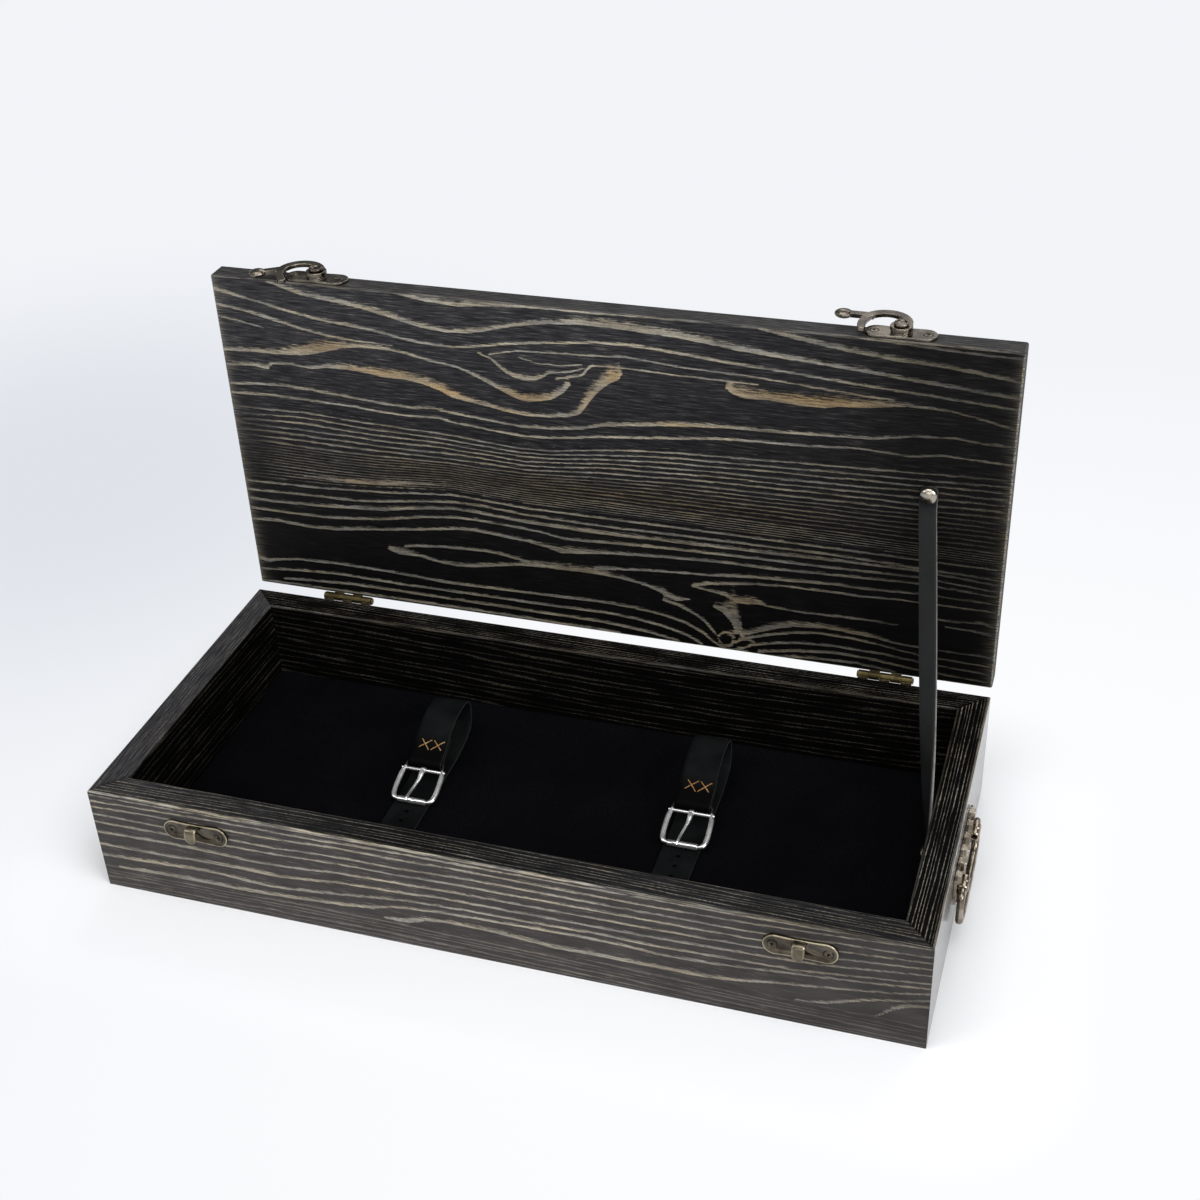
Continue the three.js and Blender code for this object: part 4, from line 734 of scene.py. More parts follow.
# %% Fine rings on the lid
LID_RINGS = [
    (0, [(0, 88), (50, 86.5), (90, 89), (110, 90), (140, 90.5), (160, 92), (200, 95), (220, 94), (250, 89.5),
         (270, 87.5), (300, 85), (340, 83), (400, 81), (460, 78.5), (500, 77.3)]),
    (7, [(0, 116), (100, 116.5), (150, 115), (200, 116), (250, 112), (300, 110), (400, 108.5), (500, 107)]),
    (14, [(0, 130), (60, 131), (100, 130.5), (150, 127), (200, 129), (300, 129.5), (400, 130), (500, 131)]),
    (19, [(0, 143), (60, 142), (100, 139), (150, 134.5), (200, 137), (300, 137.5), (400, 138), (500, 139)]),
]
RING_GAIN = ([0, 0.1, 6, 8, 13, 14.5, 19, 19.1], [0, 0.9, 0.85, 0.5, 0.45, 0.85, 0.85, 0])
BACK_PITCH, DEPTH_PITCH, BACK_GAIN = 8.0, 2.4, 0.35

rings = fine_rings(along, down, LID_RINGS)
swell = 15 * np.sin(along / 150 + 1) + 6 * np.sin(along / 61 + down / 50) + 9 * np.sin(down / 37)
backs = depth / DEPTH_PITCH + (down + swell) / BACK_PITCH
store(lid_board, "rings", np.where(face, rings, backs))
zone = np.interp(rings, *RING_GAIN) * np.clip((along - 8) / 30, 0.25, 1)
store(lid_board, "ring_gain", np.where(face, zone, BACK_GAIN))
print("fine rings on the lid:", LID_RINGS[-1][0])

# %% [markdown]
# ## The lid's wear, tan and painted sheen
# Rubbed edges are pale, grazed rings show tan, and a painted sheen, the grey of a reflection painted into
# the stain's colour, is stronger towards the top left than towards the bottom right. Each is a few given
# values that the board interpolates between.

# %% Wear, tan and painted sheen on the lid
LID_TAN = [
    # along, down, half length, half height, strength
    (72, 41, 22, 6, 0.8), (112, 55, 30, 4, 0.8), (152, 63, 24, 6, 0.9), (190, 73, 24, 4, 0.6),
    (208, 60, 20, 6, 0.8), (385, 42, 52, 6, 1.0), (246, 58, 10, 12, 0.5), (262, 40, 8, 6, 0.9),
    (300, 69, 26, 3, 0.5), (84, 137, 22, 4, 0.5), (260, 123, 190, 8, 0.7), (342, 190, 12, 6, 0.6),
    (400, 199, 40, 5, 0.35), (230, 182, 22, 4, 0.3), (330, 217, 14, 12, 0.3),
]
SHEEN_DOWN = ([0, 40, 90, 130, 170, 227], [0.92, 0.8, 0.5, 0.26, 0.10, 0.03])
SHEEN_ALONG = ([0, 250, 400, 440, 500], [1.0, 0.85, 0.42, 0.17, 0.10])
CLEAR_DOWN = ([0, 100, 140, 180, 227], [1.0, 0.92, 0.66, 0.62, 0.66])
CLEAR_ALONG = ([0, 120, 300, 400, 440, 500], [0.82, 0.95, 0.95, 0.58, 0.30, 0.18])
CHIPPED = 2.6
RUB_BAND = 0.9

from_sides = (
    np.minimum(along, LID_LENGTH - along),
    np.minimum(down, LID_HEIGHT - down),
    np.minimum(depth, LID_THICK - depth),
)
on_edge = sum((distance < RUB_BAND).astype(int) for distance in from_sides) >= 2
chipped = 0.75 * np.exp(-along / CHIPPED) + 0.35 * np.exp(-(LID_LENGTH - along) / CHIPPED)
rub = np.where(on_edge, np.where(down < 2, 0.4, 0.9), 0)
store(lid_board, "rub", np.maximum(rub, np.where(face, chipped, 0)))

tan = np.zeros(len(points))
for s, t, half_along, half_down, amount in LID_TAN:
    away = ((along - s) / half_along) ** 2 + ((down - t) / half_down) ** 2
    tan = np.maximum(tan, amount * np.exp(-away))
store(lid_board, "tan", np.where(face, tan, 0))

for name, down_values, along_values, elsewhere in (
    ("haze", SHEEN_DOWN, SHEEN_ALONG, 0.75),
    ("clear", CLEAR_DOWN, CLEAR_ALONG, 0.5),
):
    on_face = np.interp(down, *down_values) * np.interp(along, *along_values)
    store(lid_board, name, np.where(face, on_face, elsewhere))
print("tan places:", len(LID_TAN))

# %% [markdown]
# ## The four boards of the case
# Each side is a mitred board with a rounded top, rebated below for the bottom panel. Its section is
# walked from the outer foot, over the rim, down to the rebate, and that walk also gives the grain its
# second direction. A box cut at its corners would give the same outline, but not the rounded rim and the
# fine faces that the grain needs there.

# %% Section of a case board
CASE_HEIGHT, BOARD = 73.6, 18.0
HALF_LENGTH, HALF_DEPTH = 250.0, 113.25
REBATE_HEIGHT, REBATE_DEPTH = 14.3, 9.0
ARC_STEP = 0.55


def rim_arc(centre, first_angle, walked):
    """A quarter of a round edge, in four steps that each walk about ARC_STEP."""
    for k in range(5):
        angle = math.radians(first_angle - 22.5 * k)
        height = CASE_HEIGHT - EDGE_RADIUS * (1 - math.sin(angle))
        yield (centre + EDGE_RADIUS * math.cos(angle), height, walked - k * ARC_STEP)


def board_section(step):
    """Points as (distance in from the outer face, height, distance walked from the outer edge)."""
    section = []
    count = round((CASE_HEIGHT - EDGE_RADIUS) / step)
    for k in range(count):
        height = k * (CASE_HEIGHT - EDGE_RADIUS) / count
        section.append((0.0, height, CASE_HEIGHT - height))
    section += rim_arc(EDGE_RADIUS, 180, EDGE_RADIUS)
    across = 18
    for k in range(1, across):
        inward = EDGE_RADIUS + (BOARD - 2 * EDGE_RADIUS) * k / across
        section.append((inward, CASE_HEIGHT, -inward))
    section += rim_arc(BOARD - EDGE_RADIUS, 90, EDGE_RADIUS - BOARD)
    wall = 24
    for k in range(1, wall + 1):
        height = CASE_HEIGHT - EDGE_RADIUS + (REBATE_HEIGHT - CASE_HEIGHT + EDGE_RADIUS) * k / wall
        section.append((BOARD, height, -BOARD - (CASE_HEIGHT - height)))
    section.append((BOARD - REBATE_DEPTH, REBATE_HEIGHT, -90))
    section.append((BOARD - REBATE_DEPTH, 0.0, -104))
    return np.array(section)


print("section of a case board:", len(board_section(3.0)), "points")

# %% Mesh of a case board
MITRE_GAP = 0.1


def board_mesh(section, half_length, outer, turn, pitch):
    """Points and faces of a board whose ends follow the mitre, and for each point its place along."""
    shares = np.linspace(-1, 1, 2 * round(half_length / pitch) + 1)
    count = len(section)
    inward = np.tile(section[:, 0], len(shares))
    height = np.tile(section[:, 1], len(shares))
    x = np.repeat(shares, count) * (half_length - inward - MITRE_GAP)
    points = np.stack([x, -outer + inward, height], 1) @ np.array(Matrix.Rotation(turn, 3, "Z")).T
    faces = []
    for k in range(len(shares) - 1):
        here = k * count + np.arange(count)
        ahead = k * count + (np.arange(count) + 1) % count
        faces.append(np.stack([here, here + count, ahead + count, ahead], 1))
    faces = np.concatenate(faces)[:, ::-1].tolist()
    faces.append(list(range(count)))
    faces.append(list(range((len(shares) - 1) * count, len(shares) * count))[::-1])
    return points, faces, x + half_length


print("boards stand", 2 * MITRE_GAP, "mm apart at their mitres")

# %% [markdown]
# ## What the case's wood knows
# On the outer faces only the front has drawn lines. Over the rim the rings show as close even lines,
# seen from above, and each board's rim is brighter or duller as the light and the wear have left it. The
# inner walls are nearly black. One noise over the whole case would join the boards into one block, so
# each board has numbers of its own and its grain starts in another place.

# %% Numbers on a case board
FACE_PITCH, WALL_PITCH = 5.5, 4.6
FOOT_FROM, FOOT_PITCH, FOOT_GAIN = 57, 2.9, 0.34
WALL_GAIN = 0.13
RING_SHIFT, GRAIN_SHIFT = 40, 40
# Painted sheen on the front face: the floor's reflection, weaker towards the right end
FRONT_SHEEN = ([0, 150, 300, 480], [0.56, 0.56, 0.50, 0.2])
FRONT_CLEAR = ([0, 300, 400, 500], [0.82, 0.94, 0.64, 0.42])
FRONT_RUB_AND_HIGHLIGHT = ([0, 300, 430], [1.4, 1.4, 0.3])


def rings_walked(walked, start, rim_pitch, turn, lines):
    """Ring numbers along the walk: wide on the face, close on its foot and on the rim."""
    foot_pitch = FOOT_PITCH if lines else FACE_PITCH
    foot = FOOT_FROM / FACE_PITCH + (walked - FOOT_FROM) / foot_pitch
    over = np.where(walked > FOOT_FROM, foot, walked / np.where(walked > 0, FACE_PITCH, rim_pitch))
    over = np.where(walked < -BOARD, -BOARD / rim_pitch + (walked + BOARD) / WALL_PITCH, over)
    wavy = 0.22 * np.sin(walked * 0.7 + turn) + 0.9 * np.sin(start / 110.0 + 2 * turn)
    return over + wavy + RING_SHIFT


def mark_board(board, section, start, turn, rim, lines):
    """Stores a board's numbers; rim is ring spacing, ring strength, (stops, painted sheen there) and how
    rubbed the inner edge is.
    """
    repeats = len(start) // len(section)
    inward, height, walked = (np.tile(section[:, k], repeats) for k in range(3))
    rim_pitch, rim_gain, rim_sheen, inner_rub = rim
    outside = (walked > 0) & (inward < 0.5)
    on_wall = walked < -BOARD
    none = np.full(len(start), -1.0)
    store(board, "line_depth", np.where(outside, line_depth(lines, start, walked), none) if lines else none)
    store(board, "rings", rings_walked(walked, start, rim_pitch, turn, lines))
    face_gain = np.where(walked > FOOT_FROM, FOOT_GAIN, 0.0)
    inner_gain = np.where(on_wall, WALL_GAIN, rim_gain)
    store(board, "ring_gain", np.where(outside & bool(lines), face_gain, inner_gain))
    store(board, "tan", np.zeros(len(start)))
    store(board, "grain", np.stack([start, walked, inward], 1) + turn * GRAIN_SHIFT)
    face_sheen = np.interp(start, *FRONT_SHEEN) if lines else 0.4
    inner_sheen = np.where(on_wall, 0.0, np.interp(start, *rim_sheen))
    store(board, "haze", np.where(outside, face_sheen, inner_sheen))
    # The outer top edge is paler from wear and from a painted highlight on its rounded edge
    high = height > CASE_HEIGHT - RUB_BAND
    outer_rub_and_highlight = np.interp(start, *FRONT_RUB_AND_HIGHLIGHT) if lines else 0.6
    rub = np.where(high & (inward > BOARD - RUB_BAND), inner_rub, 0.0)
    store(board, "rub", np.where(high & (inward < RUB_BAND), outer_rub_and_highlight, rub))
    store(board, "clear", np.where(outside, np.interp(start, *FRONT_CLEAR), 1.0))


print("drawn lines stop", FOOT_FROM, "mm down the front board")

# %% Case boards
# The third entry of each rim gives its painted sheen along the board
FRONT_RIM = (2.4, 0.6, ([0, 100, 200, 350, 500], [0.7, 0.42, 0.12, 0.36, 0.3]), 0.3)
RIGHT_RIM = (2.1, 0.72, ([0, 226], [0.03, 0.0]), 0.2)
BACK_RIM = (2.1, 0.45, ([0, 500], [0.0, 0.0]), 0.2)
LEFT_RIM = (2.3, 0.26, ([0, 226], [0.95, 0.85]), 0.05)
FINE_GRID, PLAIN_GRID = (0.8, 2.0), (3.0, 4.0)
LONG_BOARD, SHORT_BOARD = (HALF_LENGTH, HALF_DEPTH), (HALF_DEPTH, HALF_LENGTH)
BOARDS = [
    # piece, node, half length and distance from the middle, turn, rim, grid steps, drawn lines
    ("front_board_face", "front_board", LONG_BOARD, 0, FRONT_RIM, FINE_GRID, FRONT_LINES),
    ("right_board_face", "right_end_board", SHORT_BOARD, math.pi / 2, RIGHT_RIM, PLAIN_GRID, []),
    ("back_board_face", "back_board", LONG_BOARD, math.pi, BACK_RIM, PLAIN_GRID, []),
    ("left_board_face", "left_end_board", SHORT_BOARD, -math.pi / 2, LEFT_RIM, PLAIN_GRID, []),
]

for name, node, (half_length, outer), turn, rim, (step, pitch), lines in BOARDS:
    section = board_section(step)
    points, faces, start = board_mesh(section, half_length, outer, turn, pitch)
    board = piece(name, points, faces, case_wood, "case", [node], "stained_wood")
    board.data.materials.append(front_wood if lines else outer_wood)
    from_outside = np.tile(section[:, 0], len(points) // len(section))
    outer_face = np.array([all(from_outside[i] < 0.2 for i in face) for face in faces])
    board.data.polygons.foreach_set("material_index", outer_face.astype(int))
    mark_board(board, section, start, turn, rim, lines)
    print(name, len(points), "vertices")

# %% [markdown]
# ## The bottom panel
# The bottom is a thin sheet of plywood with the same stain. It shows only from below and as a thin line
# in the rebate, so it keeps its solid and takes a plain open-pored finish.

# %% Bottom panel finish
ply = Finish("stained_ply", Roughness=0.6, Specular_IOR_Level=0.15)
ply_grain = ply.noise(ply.place((18, 420, 420)), detail=5, roughness=0.65)
ply_color = ply.blend(ply.span(ply_grain, 0.45, 0.75), (0.004, 0.0036, 0.0034), (0.05, 0.04, 0.028))
ply.finish(ply_color, normal=ply.bump(ply_grain, 0.15 * MM, 0.6))


def repaint(material, name):
    nodes[name].data.materials.clear()
    nodes[name].data.materials.append(material)


repaint(ply.material, "bottom_panel")
print("bottom panel keeps its solid and is now", ply.material.name)

# %% [markdown]
# ## The felt lining
# Wool felt drinks light: it is dull from every side, with a nap that is only seen as a faint unevenness
# and as a soft lip where it meets the boards. A sheet with gently rolling height and a rounded border
# gives both. Real strands would cost much time for a nap that nobody can count.

# %% Felt finish
felt = Finish("black_felt", Roughness=1.0, Specular_IOR_Level=0.0)
nap = felt.noise(felt.place((900, 900, 900)), detail=3, roughness=0.7)
cloud = felt.noise(felt.place((22, 22, 22)), detail=3)
felt_color = felt.blend(felt.span(nap, 0.35, 0.7), (0.0024, 0.0025, 0.0031), (0.0056, 0.0057, 0.0070))
felt_color = felt.blend(felt.span(cloud, 0.3, 0.7, 0.0, 0.5), felt_color, (0.0019, 0.0019, 0.0023))
felt.finish(felt_color, normal=felt.bump(nap, 0.25 * MM, 0.7))
print("felt nap repeats about", round(1 / 900 / MM, 1), "mm apart")

# %% Felt sheet
FELT_STEP, FELT_LIP = 3.0, 1.1
ROLL_HEIGHT, UNDER_TOP = 0.12, 0.3

felt_low, felt_high = box_of("felt_lining")
felt_x = stops(felt_low[0], felt_high[0], FELT_LIP, [(felt_high[0], FELT_STEP)])
felt_y = stops(felt_low[1], felt_high[1], FELT_LIP, [(felt_high[1], FELT_STEP)])
felt_z = np.linspace(felt_low[2], felt_high[2], 5)
points, faces = grid_box(felt_x, felt_y, felt_z, FELT_LIP)
x, y, z = points.T
roll = np.sin(x / 31 + 1.1) * np.sin(y / 23) + np.sin(x / 13 + y / 17)
points[:, 2] -= np.where(z > felt_high[2] - UNDER_TOP, ROLL_HEIGHT * (1 + roll / 2), 0)
piece("felt_sheet", points, faces, felt.material, "case", ["felt_lining"], "felt")
print("felt sheet:", len(points), "vertices, rolling by", 2 * ROLL_HEIGHT, "mm")

# %% [markdown]
# ## Sweeping a strip
# Straps, threads and bars are all one section carried along a line. The line has a place, a sideways
# direction and a face direction at each step, and the section is a closed loop of points in those two
# directions.


# %% Lines to sweep along
def centripetal(points, steps):
    """A curve through points that keeps to their spacing, cut into equal shares of its parameter."""
    points = np.array(points, float)
    padded = np.concatenate([[2 * points[0] - points[1]], points, [2 * points[-1] - points[-2]]])
    places = np.linspace(0, len(points) - 1, steps + 1)
    first = np.minimum(places.astype(int), len(points) - 2)
    share = (places - first)[:, None]
    a, b, c, d = (padded[first + k] for k in range(4))
    spans = (np.linalg.norm(q - p, axis=1) for p, q in ((a, b), (b, c), (c, d)))
    before, within, after = (np.sqrt(span)[:, None] for span in spans)
    leave = ((b - a) / before - (c - a) / (before + within) + (c - b) / within) * within
    reach = ((c - b) / within - (d - b) / (within + after) + (d - c) / after) * within
    cubic = 2 * b - 2 * c + leave + reach
    square = -3 * b + 3 * c - 2 * leave - reach
    return b + share * (leave + share * (square + share * cubic))


def directions(line, closed=False):
    """Unit tangents of a line of points."""
    if closed:
        tangent = np.roll(line, -1, 0) - np.roll(line, 1, 0)
    else:
        tangent = np.gradient(line, axis=0)
    return tangent / np.linalg.norm(tangent, axis=1)[:, None]


def aside_of(way, reference):
    """Unit directions square to a line's own way and to a reference."""
    aside = np.cross(way, reference)
    return aside / np.linalg.norm(aside, axis=1)[:, None]


def same_along(direction, line):
    return np.tile(direction, (len(line), 1))


def walked_along(line):
    """Distance walked from the start of a line to each of its points."""
    return np.concatenate([[0], np.cumsum(np.linalg.norm(np.diff(line, axis=0), axis=1))])


def eased(share):
    """A share from 0 to 1 with a soft start and end."""
    return share * share * (3 - 2 * share)


arc = centripetal([(1, 0), (math.sqrt(0.5), math.sqrt(0.5)), (0, 1)], 20)
print("a quarter circle from three points:", round(walked_along(arc)[-1] / (math.pi / 2), 3), "of its length")


# %% Sections and sweeps
def sweep(line, sideways, outward, section, closed=False, scale=None):
    """Points and faces of a section, in (sideways, outward), carried along the line."""
    rings, count = len(line), len(section)
    scale = np.ones(rings) if scale is None else np.asarray(scale, float)
    scale = scale.reshape(rings, -1) * np.ones(2)
    wide = sideways[:, None] * (section[None, :, :1] * scale[:, None, :1])
    deep = outward[:, None] * (section[None, :, 1:] * scale[:, None, 1:])
    points = (line[:, None] + wide + deep).reshape(-1, 3)
    faces = []
    for ring in range(rings if closed else rings - 1):
        here = ring * count + np.arange(count)
        there = (ring + 1) % rings * count + np.arange(count)
        faces += np.stack([here, np.roll(here, -1), np.roll(there, -1), there], 1).tolist()
    if not closed:
        faces.append(list(range(count))[::-1])
        faces.append(list(range((rings - 1) * count, rings * count)))
    return points, faces


def narrowing(shares):
    """A scale for sweep that narrows a band and keeps its thickness."""
    return np.column_stack([shares, np.ones(len(shares))])


def band_section(width, thickness, corner, across=10, crown=0.0):
    """A flat band's section with rounded corners; crown thins its borders, as pressed leather edges are."""
    half, low = width / 2 - corner, thickness / 2 - corner
    top = [(u, thickness / 2 - crown * (u / half) ** 4) for u in np.linspace(-half, half, across)]
    turn = [math.radians(a) for a in (67.5, 45, 22.5, 0)]
    right_top = [(half + corner * math.cos(a), low - crown + corner * math.sin(a)) for a in turn]
    side = top + right_top
    return np.array(side + [(-u, -v) for u, v in side])[::-1]


def circle_section(radius, sides=12):
    turn = np.linspace(0, 2 * math.pi, sides, endpoint=False)
    return np.stack([np.cos(turn), np.sin(turn)], 1) * radius


def joined(*parts):
    """Several (points, faces) as one."""
    points, faces, base = [], [], 0
    for some, theirs in parts:
        points.append(np.asarray(some))
        faces += [[index + base for index in face] for face in theirs]
        base += len(some)
    return np.concatenate(points), faces


print("a band's section has", len(band_section(22, 2, 0.4)), "points")

# %% [markdown]
# ## Leather
# The straps are vegetable-tanned leather, dyed black through its grain side. It is satin, not shiny,
# with fine pores and faint creases, and its cut edges are paler where the dye and the light meet the
# fibres. Pores and creases are noise, but no noise knows where the cut edges are, so each strap stores
# them.


# %% Leather finish
def dyed_leather(name, edge_and_highlight_color, gloss):
    """Leather that reads where its cut edge is, and where the fold above it keeps the light away."""
    hide = Finish(name, Specular_IOR_Level=gloss)
    pores = hide.node("TexVoronoi", hide.place((1100, 1100, 1100)))
    pores.inputs["Scale"].default_value = 1.0
    pore = hide.span(pores.outputs["Distance"], 0.1, 0.75)
    crease = hide.noise(hide.place((140, 140, 140)), detail=4, roughness=0.6, distortion=0.6)
    tone = hide.noise(hide.place((40, 40, 40)), detail=3)
    color = hide.blend(hide.span(tone, 0.3, 0.7), (0.0032, 0.0036, 0.0038), (0.0072, 0.0080, 0.0083))
    color = hide.blend(hide.stored("shade"), color, (0.0014, 0.0013, 0.0015))
    frayed_edge_and_highlight = hide.times(hide.stored("edge"), hide.span(crease, 0.25, 0.6, 0.45, 1.0))
    color = hide.blend(frayed_edge_and_highlight, color, edge_and_highlight_color)
    height = hide.math("ADD", hide.times(pore, 0.5), crease)
    rough = hide.span(tone, 0.3, 0.7, 0.5, 0.62)
    return hide.finish(color, rough, hide.bump(height, 0.09 * MM, 0.5))


strap_leather = dyed_leather("black_leather", (0.026, 0.027, 0.027), 0.03)
# The stay's pale edge colour is paler leather and a painted highlight together
stay_leather = dyed_leather("stay_leather", (0.26, 0.25, 0.24), 0.18)
print("leathers:", strap_leather.name, "and", stay_leather.name)

# %% [markdown]
# ## The line of a hold-down strap
# Each strap is one strip: its end is folded round the buckle's bar and sewn down, then it rises, rolls
# over backwards and comes down to lie along the felt, with a row of holes in its tail. It keeps the arch
# that the knife's handle has given it. The line is the same as in the solids, with more steps and a
# rounded section.

# %% Strap line
STRAP_WIDTH, STRAP_THICK = 22.4, 2.0
STRAP_X, STRAP_STARTS = 87.0, {"left": 7.7, "right": 11.2}
FELT_TOP = felt_high[2]
LOOP_LENGTH, LOOP_RISE, TAIL = 53.7, 28.3, 66.0
PLAY, HEEL_RADIUS = 0.3, 1.1
REST = PLAY + STRAP_THICK / 2
FOLD_RADIUS = HEEL_RADIUS + PLAY + STRAP_THICK / 2
FOLD_BACK, FOLD_MERGE = 19.0, 7.0
LOOP = [
    (0, 0.52), (0.062, 0.56), (0.181, 0.645), (0.302, 0.774), (0.393, 0.868), (0.486, 0.936), (0.589, 0.985),
    (0.72, 1), (0.881, 0.975), (0.962, 0.894), (0.995, 0.75), (1, 0.555), (0.98, 0.36), (0.929, 0.208),
    (0.846, 0.124), (0.728, 0.07), (0.581, 0.021), (0.453, 0), (0.18, 0),
]

loop_points = [(a * LOOP_LENGTH, REST + u * LOOP_RISE) for a, u in LOOP]
loop = centripetal(loop_points + [(-TAIL / 2, REST), (-TAIL, REST)], 240)
loop_way = directions(loop)
loop_out = np.stack([-loop_way[:, 1], loop_way[:, 0]], 1)
heel = loop[0] - loop_out[0] * FOLD_RADIUS
fold = []
for turn in np.linspace(0, math.pi, 19)[1:]:
    spin = np.array([[math.cos(turn), -math.sin(turn)], [math.sin(turn), math.cos(turn)]])
    fold.append(heel + spin @ (loop[0] - heel))
run = walked_along(loop)
closing = eased(np.clip(run / FOLD_MERGE, 0, 1))
gap = 2 * FOLD_RADIUS + (STRAP_THICK + PLAY - 2 * FOLD_RADIUS) * closing
under = (loop - loop_out * gap[:, None])[(run > 0) & (run < FOLD_BACK)]
strap_line = np.concatenate([under[::-1], np.array(fold)[::-1], loop])
loop_start = len(under) + len(fold)
print("strap line:", len(strap_line), "steps,", round(float(run[-1])), "mm from fold to tail")

# %% [markdown]
# ## Punched holes
# The holes in the strap's tail are punched. A boolean cut leaves a clean round hole with walls, which a
# dark dot in the material could not do. The cutter is thrown away once its cut is part of the mesh.


# %% Punch
def drill(made, *shapes):
    """Cuts shapes, each (points in millimetres, faces), out of a piece for good."""
    points, faces = joined(*shapes)
    mesh = bpy.data.meshes.new("cutter")
    mesh.from_pydata([tuple(p) for p in points * MM], [], [tuple(f) for f in faces])
    cutter = bpy.data.objects.new("cutter", mesh)
    bpy.context.scene.collection.objects.link(cutter)
    cut = made.modifiers.new("cut", "BOOLEAN")
    cut.operation, cut.solver, cut.object = "DIFFERENCE", "EXACT", cutter
    bpy.context.view_layer.update()
    shaped = made.evaluated_get(bpy.context.evaluated_depsgraph_get())
    result = bpy.data.meshes.new_from_object(shaped)
    made.modifiers.clear()
    made.data = result
    bpy.data.objects.remove(cutter)


def tube(start, end, radius, sides=20):
    """A plain round cutter between two points."""
    line = np.array([start, end], float)
    way = directions(line)
    aside = aside_of(way, (0.3, 0.9, 0.2) if abs(way[0][0]) > 0.5 else (1, 0, 0))
    return sweep(line, aside, np.cross(way, aside), circle_section(radius, sides))


print("a cutter has", len(tube((0, 0, 0), (0, 0, 1), 1)[0]), "points")

# %% Straps
HOLE_FIRST, HOLE_PITCH, HOLE_COUNT, HOLE_RADIUS = 33.8, 9.0, 3, 1.4
TAIL_FROM, TIP_LENGTH, TIP_NARROWING = -30.0, 6.0, 0.55


def strap_base(side, sign):
    """Where a strap's own measures start: on the felt, under the fold."""
    return np.array([sign * STRAP_X, STRAP_STARTS[side], FELT_TOP])


def hold_down_strap(side, sign):
    """One strap with a punched tail; it stores its cut edges, and the painted shade where it is folded."""
    section = band_section(STRAP_WIDTH, STRAP_THICK, 0.45, crown=0.12)
    way = directions(strap_line)
    level = np.zeros(len(strap_line))
    line = np.column_stack([level, strap_line])
    outward = np.column_stack([level, -way[:, 1], way[:, 0]])
    from_tip = np.clip((strap_line[:, 0] + TAIL) / TIP_LENGTH, 0, 1)
    rounded = np.sqrt(np.clip(1 - (1 - from_tip) ** 2 * TIP_NARROWING, 0, 1))
    scale = narrowing(np.where(strap_line[:, 0] < TAIL_FROM, rounded, 1))
    points, faces = sweep(line, same_along((1.0, 0.0, 0.0), line), outward, section, scale=scale)
    base = strap_base(side, sign)
    strap = piece(f"leather_strap_{side}", points + base, faces, strap_leather, "case",
                  [f"hold_down_strap_{side}"], "leather")
    cut_edge_and_highlight = np.abs(section[:, 0]) > STRAP_WIDTH / 2 - 0.15
    store(strap, "edge", np.tile(cut_edge_and_highlight.astype(float), len(line)))
    shade = np.interp(np.arange(len(line)), [loop_start + 22, loop_start + 40], [1, 0])
    store(strap, "shade", np.repeat(shade, len(section)))
    holes = []
    for k in range(HOLE_COUNT):
        at = base + (0, -HOLE_FIRST - k * HOLE_PITCH, 0)
        holes.append(tube(at - (0, 0, 1), at + (0, 0, STRAP_THICK + 2), HOLE_RADIUS))
    drill(strap, *holes)
    print(strap.name, len(strap.data.vertices), "vertices")


for side, sign in SIDES:
    hold_down_strap(side, sign)

# %% [markdown]
# ## The sewn crosses
# Two crosses of waxed linen hold each fold together. The thread is two-ply, so each stroke is a pair of
# strands wound round each other; it dives into the leather at both ends and the second stroke lies over
# the first. Painted strokes would lie flat in the leather and lose their shadow, so each strand is swept
# along its own winding line.

# %% Thread finish
linen = Finish("waxed_thread", Roughness=0.55, Specular_IOR_Level=0.3)
fuzz = linen.noise(linen.place((1500, 1500, 1500)), detail=3)
tint = linen.noise(linen.place((160, 160, 160)))
thread_color = linen.blend(linen.span(tint, 0.35, 0.62), (0.34, 0.13, 0.028), (0.44, 0.28, 0.12))
thread_color = linen.blend(linen.span(fuzz, 0.3, 0.7), thread_color, (0.20, 0.11, 0.04))
linen.finish(thread_color, normal=linen.bump(fuzz, 0.06 * MM, 0.7))
print("thread:", linen.material.name)

# %% One stroke of thread
STRAND_RADIUS, PLY_RADIUS, PLY_PITCH = 0.22, 0.19, 2.3
STROKE_STEPS = 40
ON_LEATHER, SUNK, RISE = 0.30, 0.45, 0.42


def on_strap(across, along, lift):
    """A place on the rising strap's upper face; along is measured on its centre line from the fold."""
    place = np.array([np.interp(along, run, loop[:, k]) for k in range(2)])
    out = np.array([np.interp(along, run, loop_out[:, k]) for k in range(2)])
    place = place + out / np.linalg.norm(out) * (STRAP_THICK / 2 + lift)
    return np.array([across, place[0], place[1]])


def stitch(base, start, end, over):
    """One stroke from start to end, both (across, along), as two strands wound round each other."""
    start, end = np.array(start), np.array(end)
    length = math.dist(start, end)
    square = np.array([end[1] - start[1], start[0] - end[0]]) / length
    strands = []
    for phase in (0, math.pi):
        line = []
        for k in range(STROKE_STEPS + 1):
            t = k / STROKE_STEPS
            from_end = min(t, 1 - t)
            lift = ON_LEATHER * min(1, 9 * from_end) - SUNK + RISE * min(1, 6 * from_end)
            lift += over * math.exp(-(((t - 0.5) * 6) ** 2))
            wind = phase + 2 * math.pi * t * length / PLY_PITCH
            across, along = start * (1 - t) + end * t + square * math.cos(wind) * PLY_RADIUS
            line.append(base + on_strap(across, along, lift + math.sin(wind) * PLY_RADIUS))
        line = np.array(line)
        way = directions(line)
        aside = aside_of(way, (1, 0, 0))
        strands.append(sweep(line, aside, np.cross(way, aside), circle_section(STRAND_RADIUS, 7)))
    return joined(*strands)


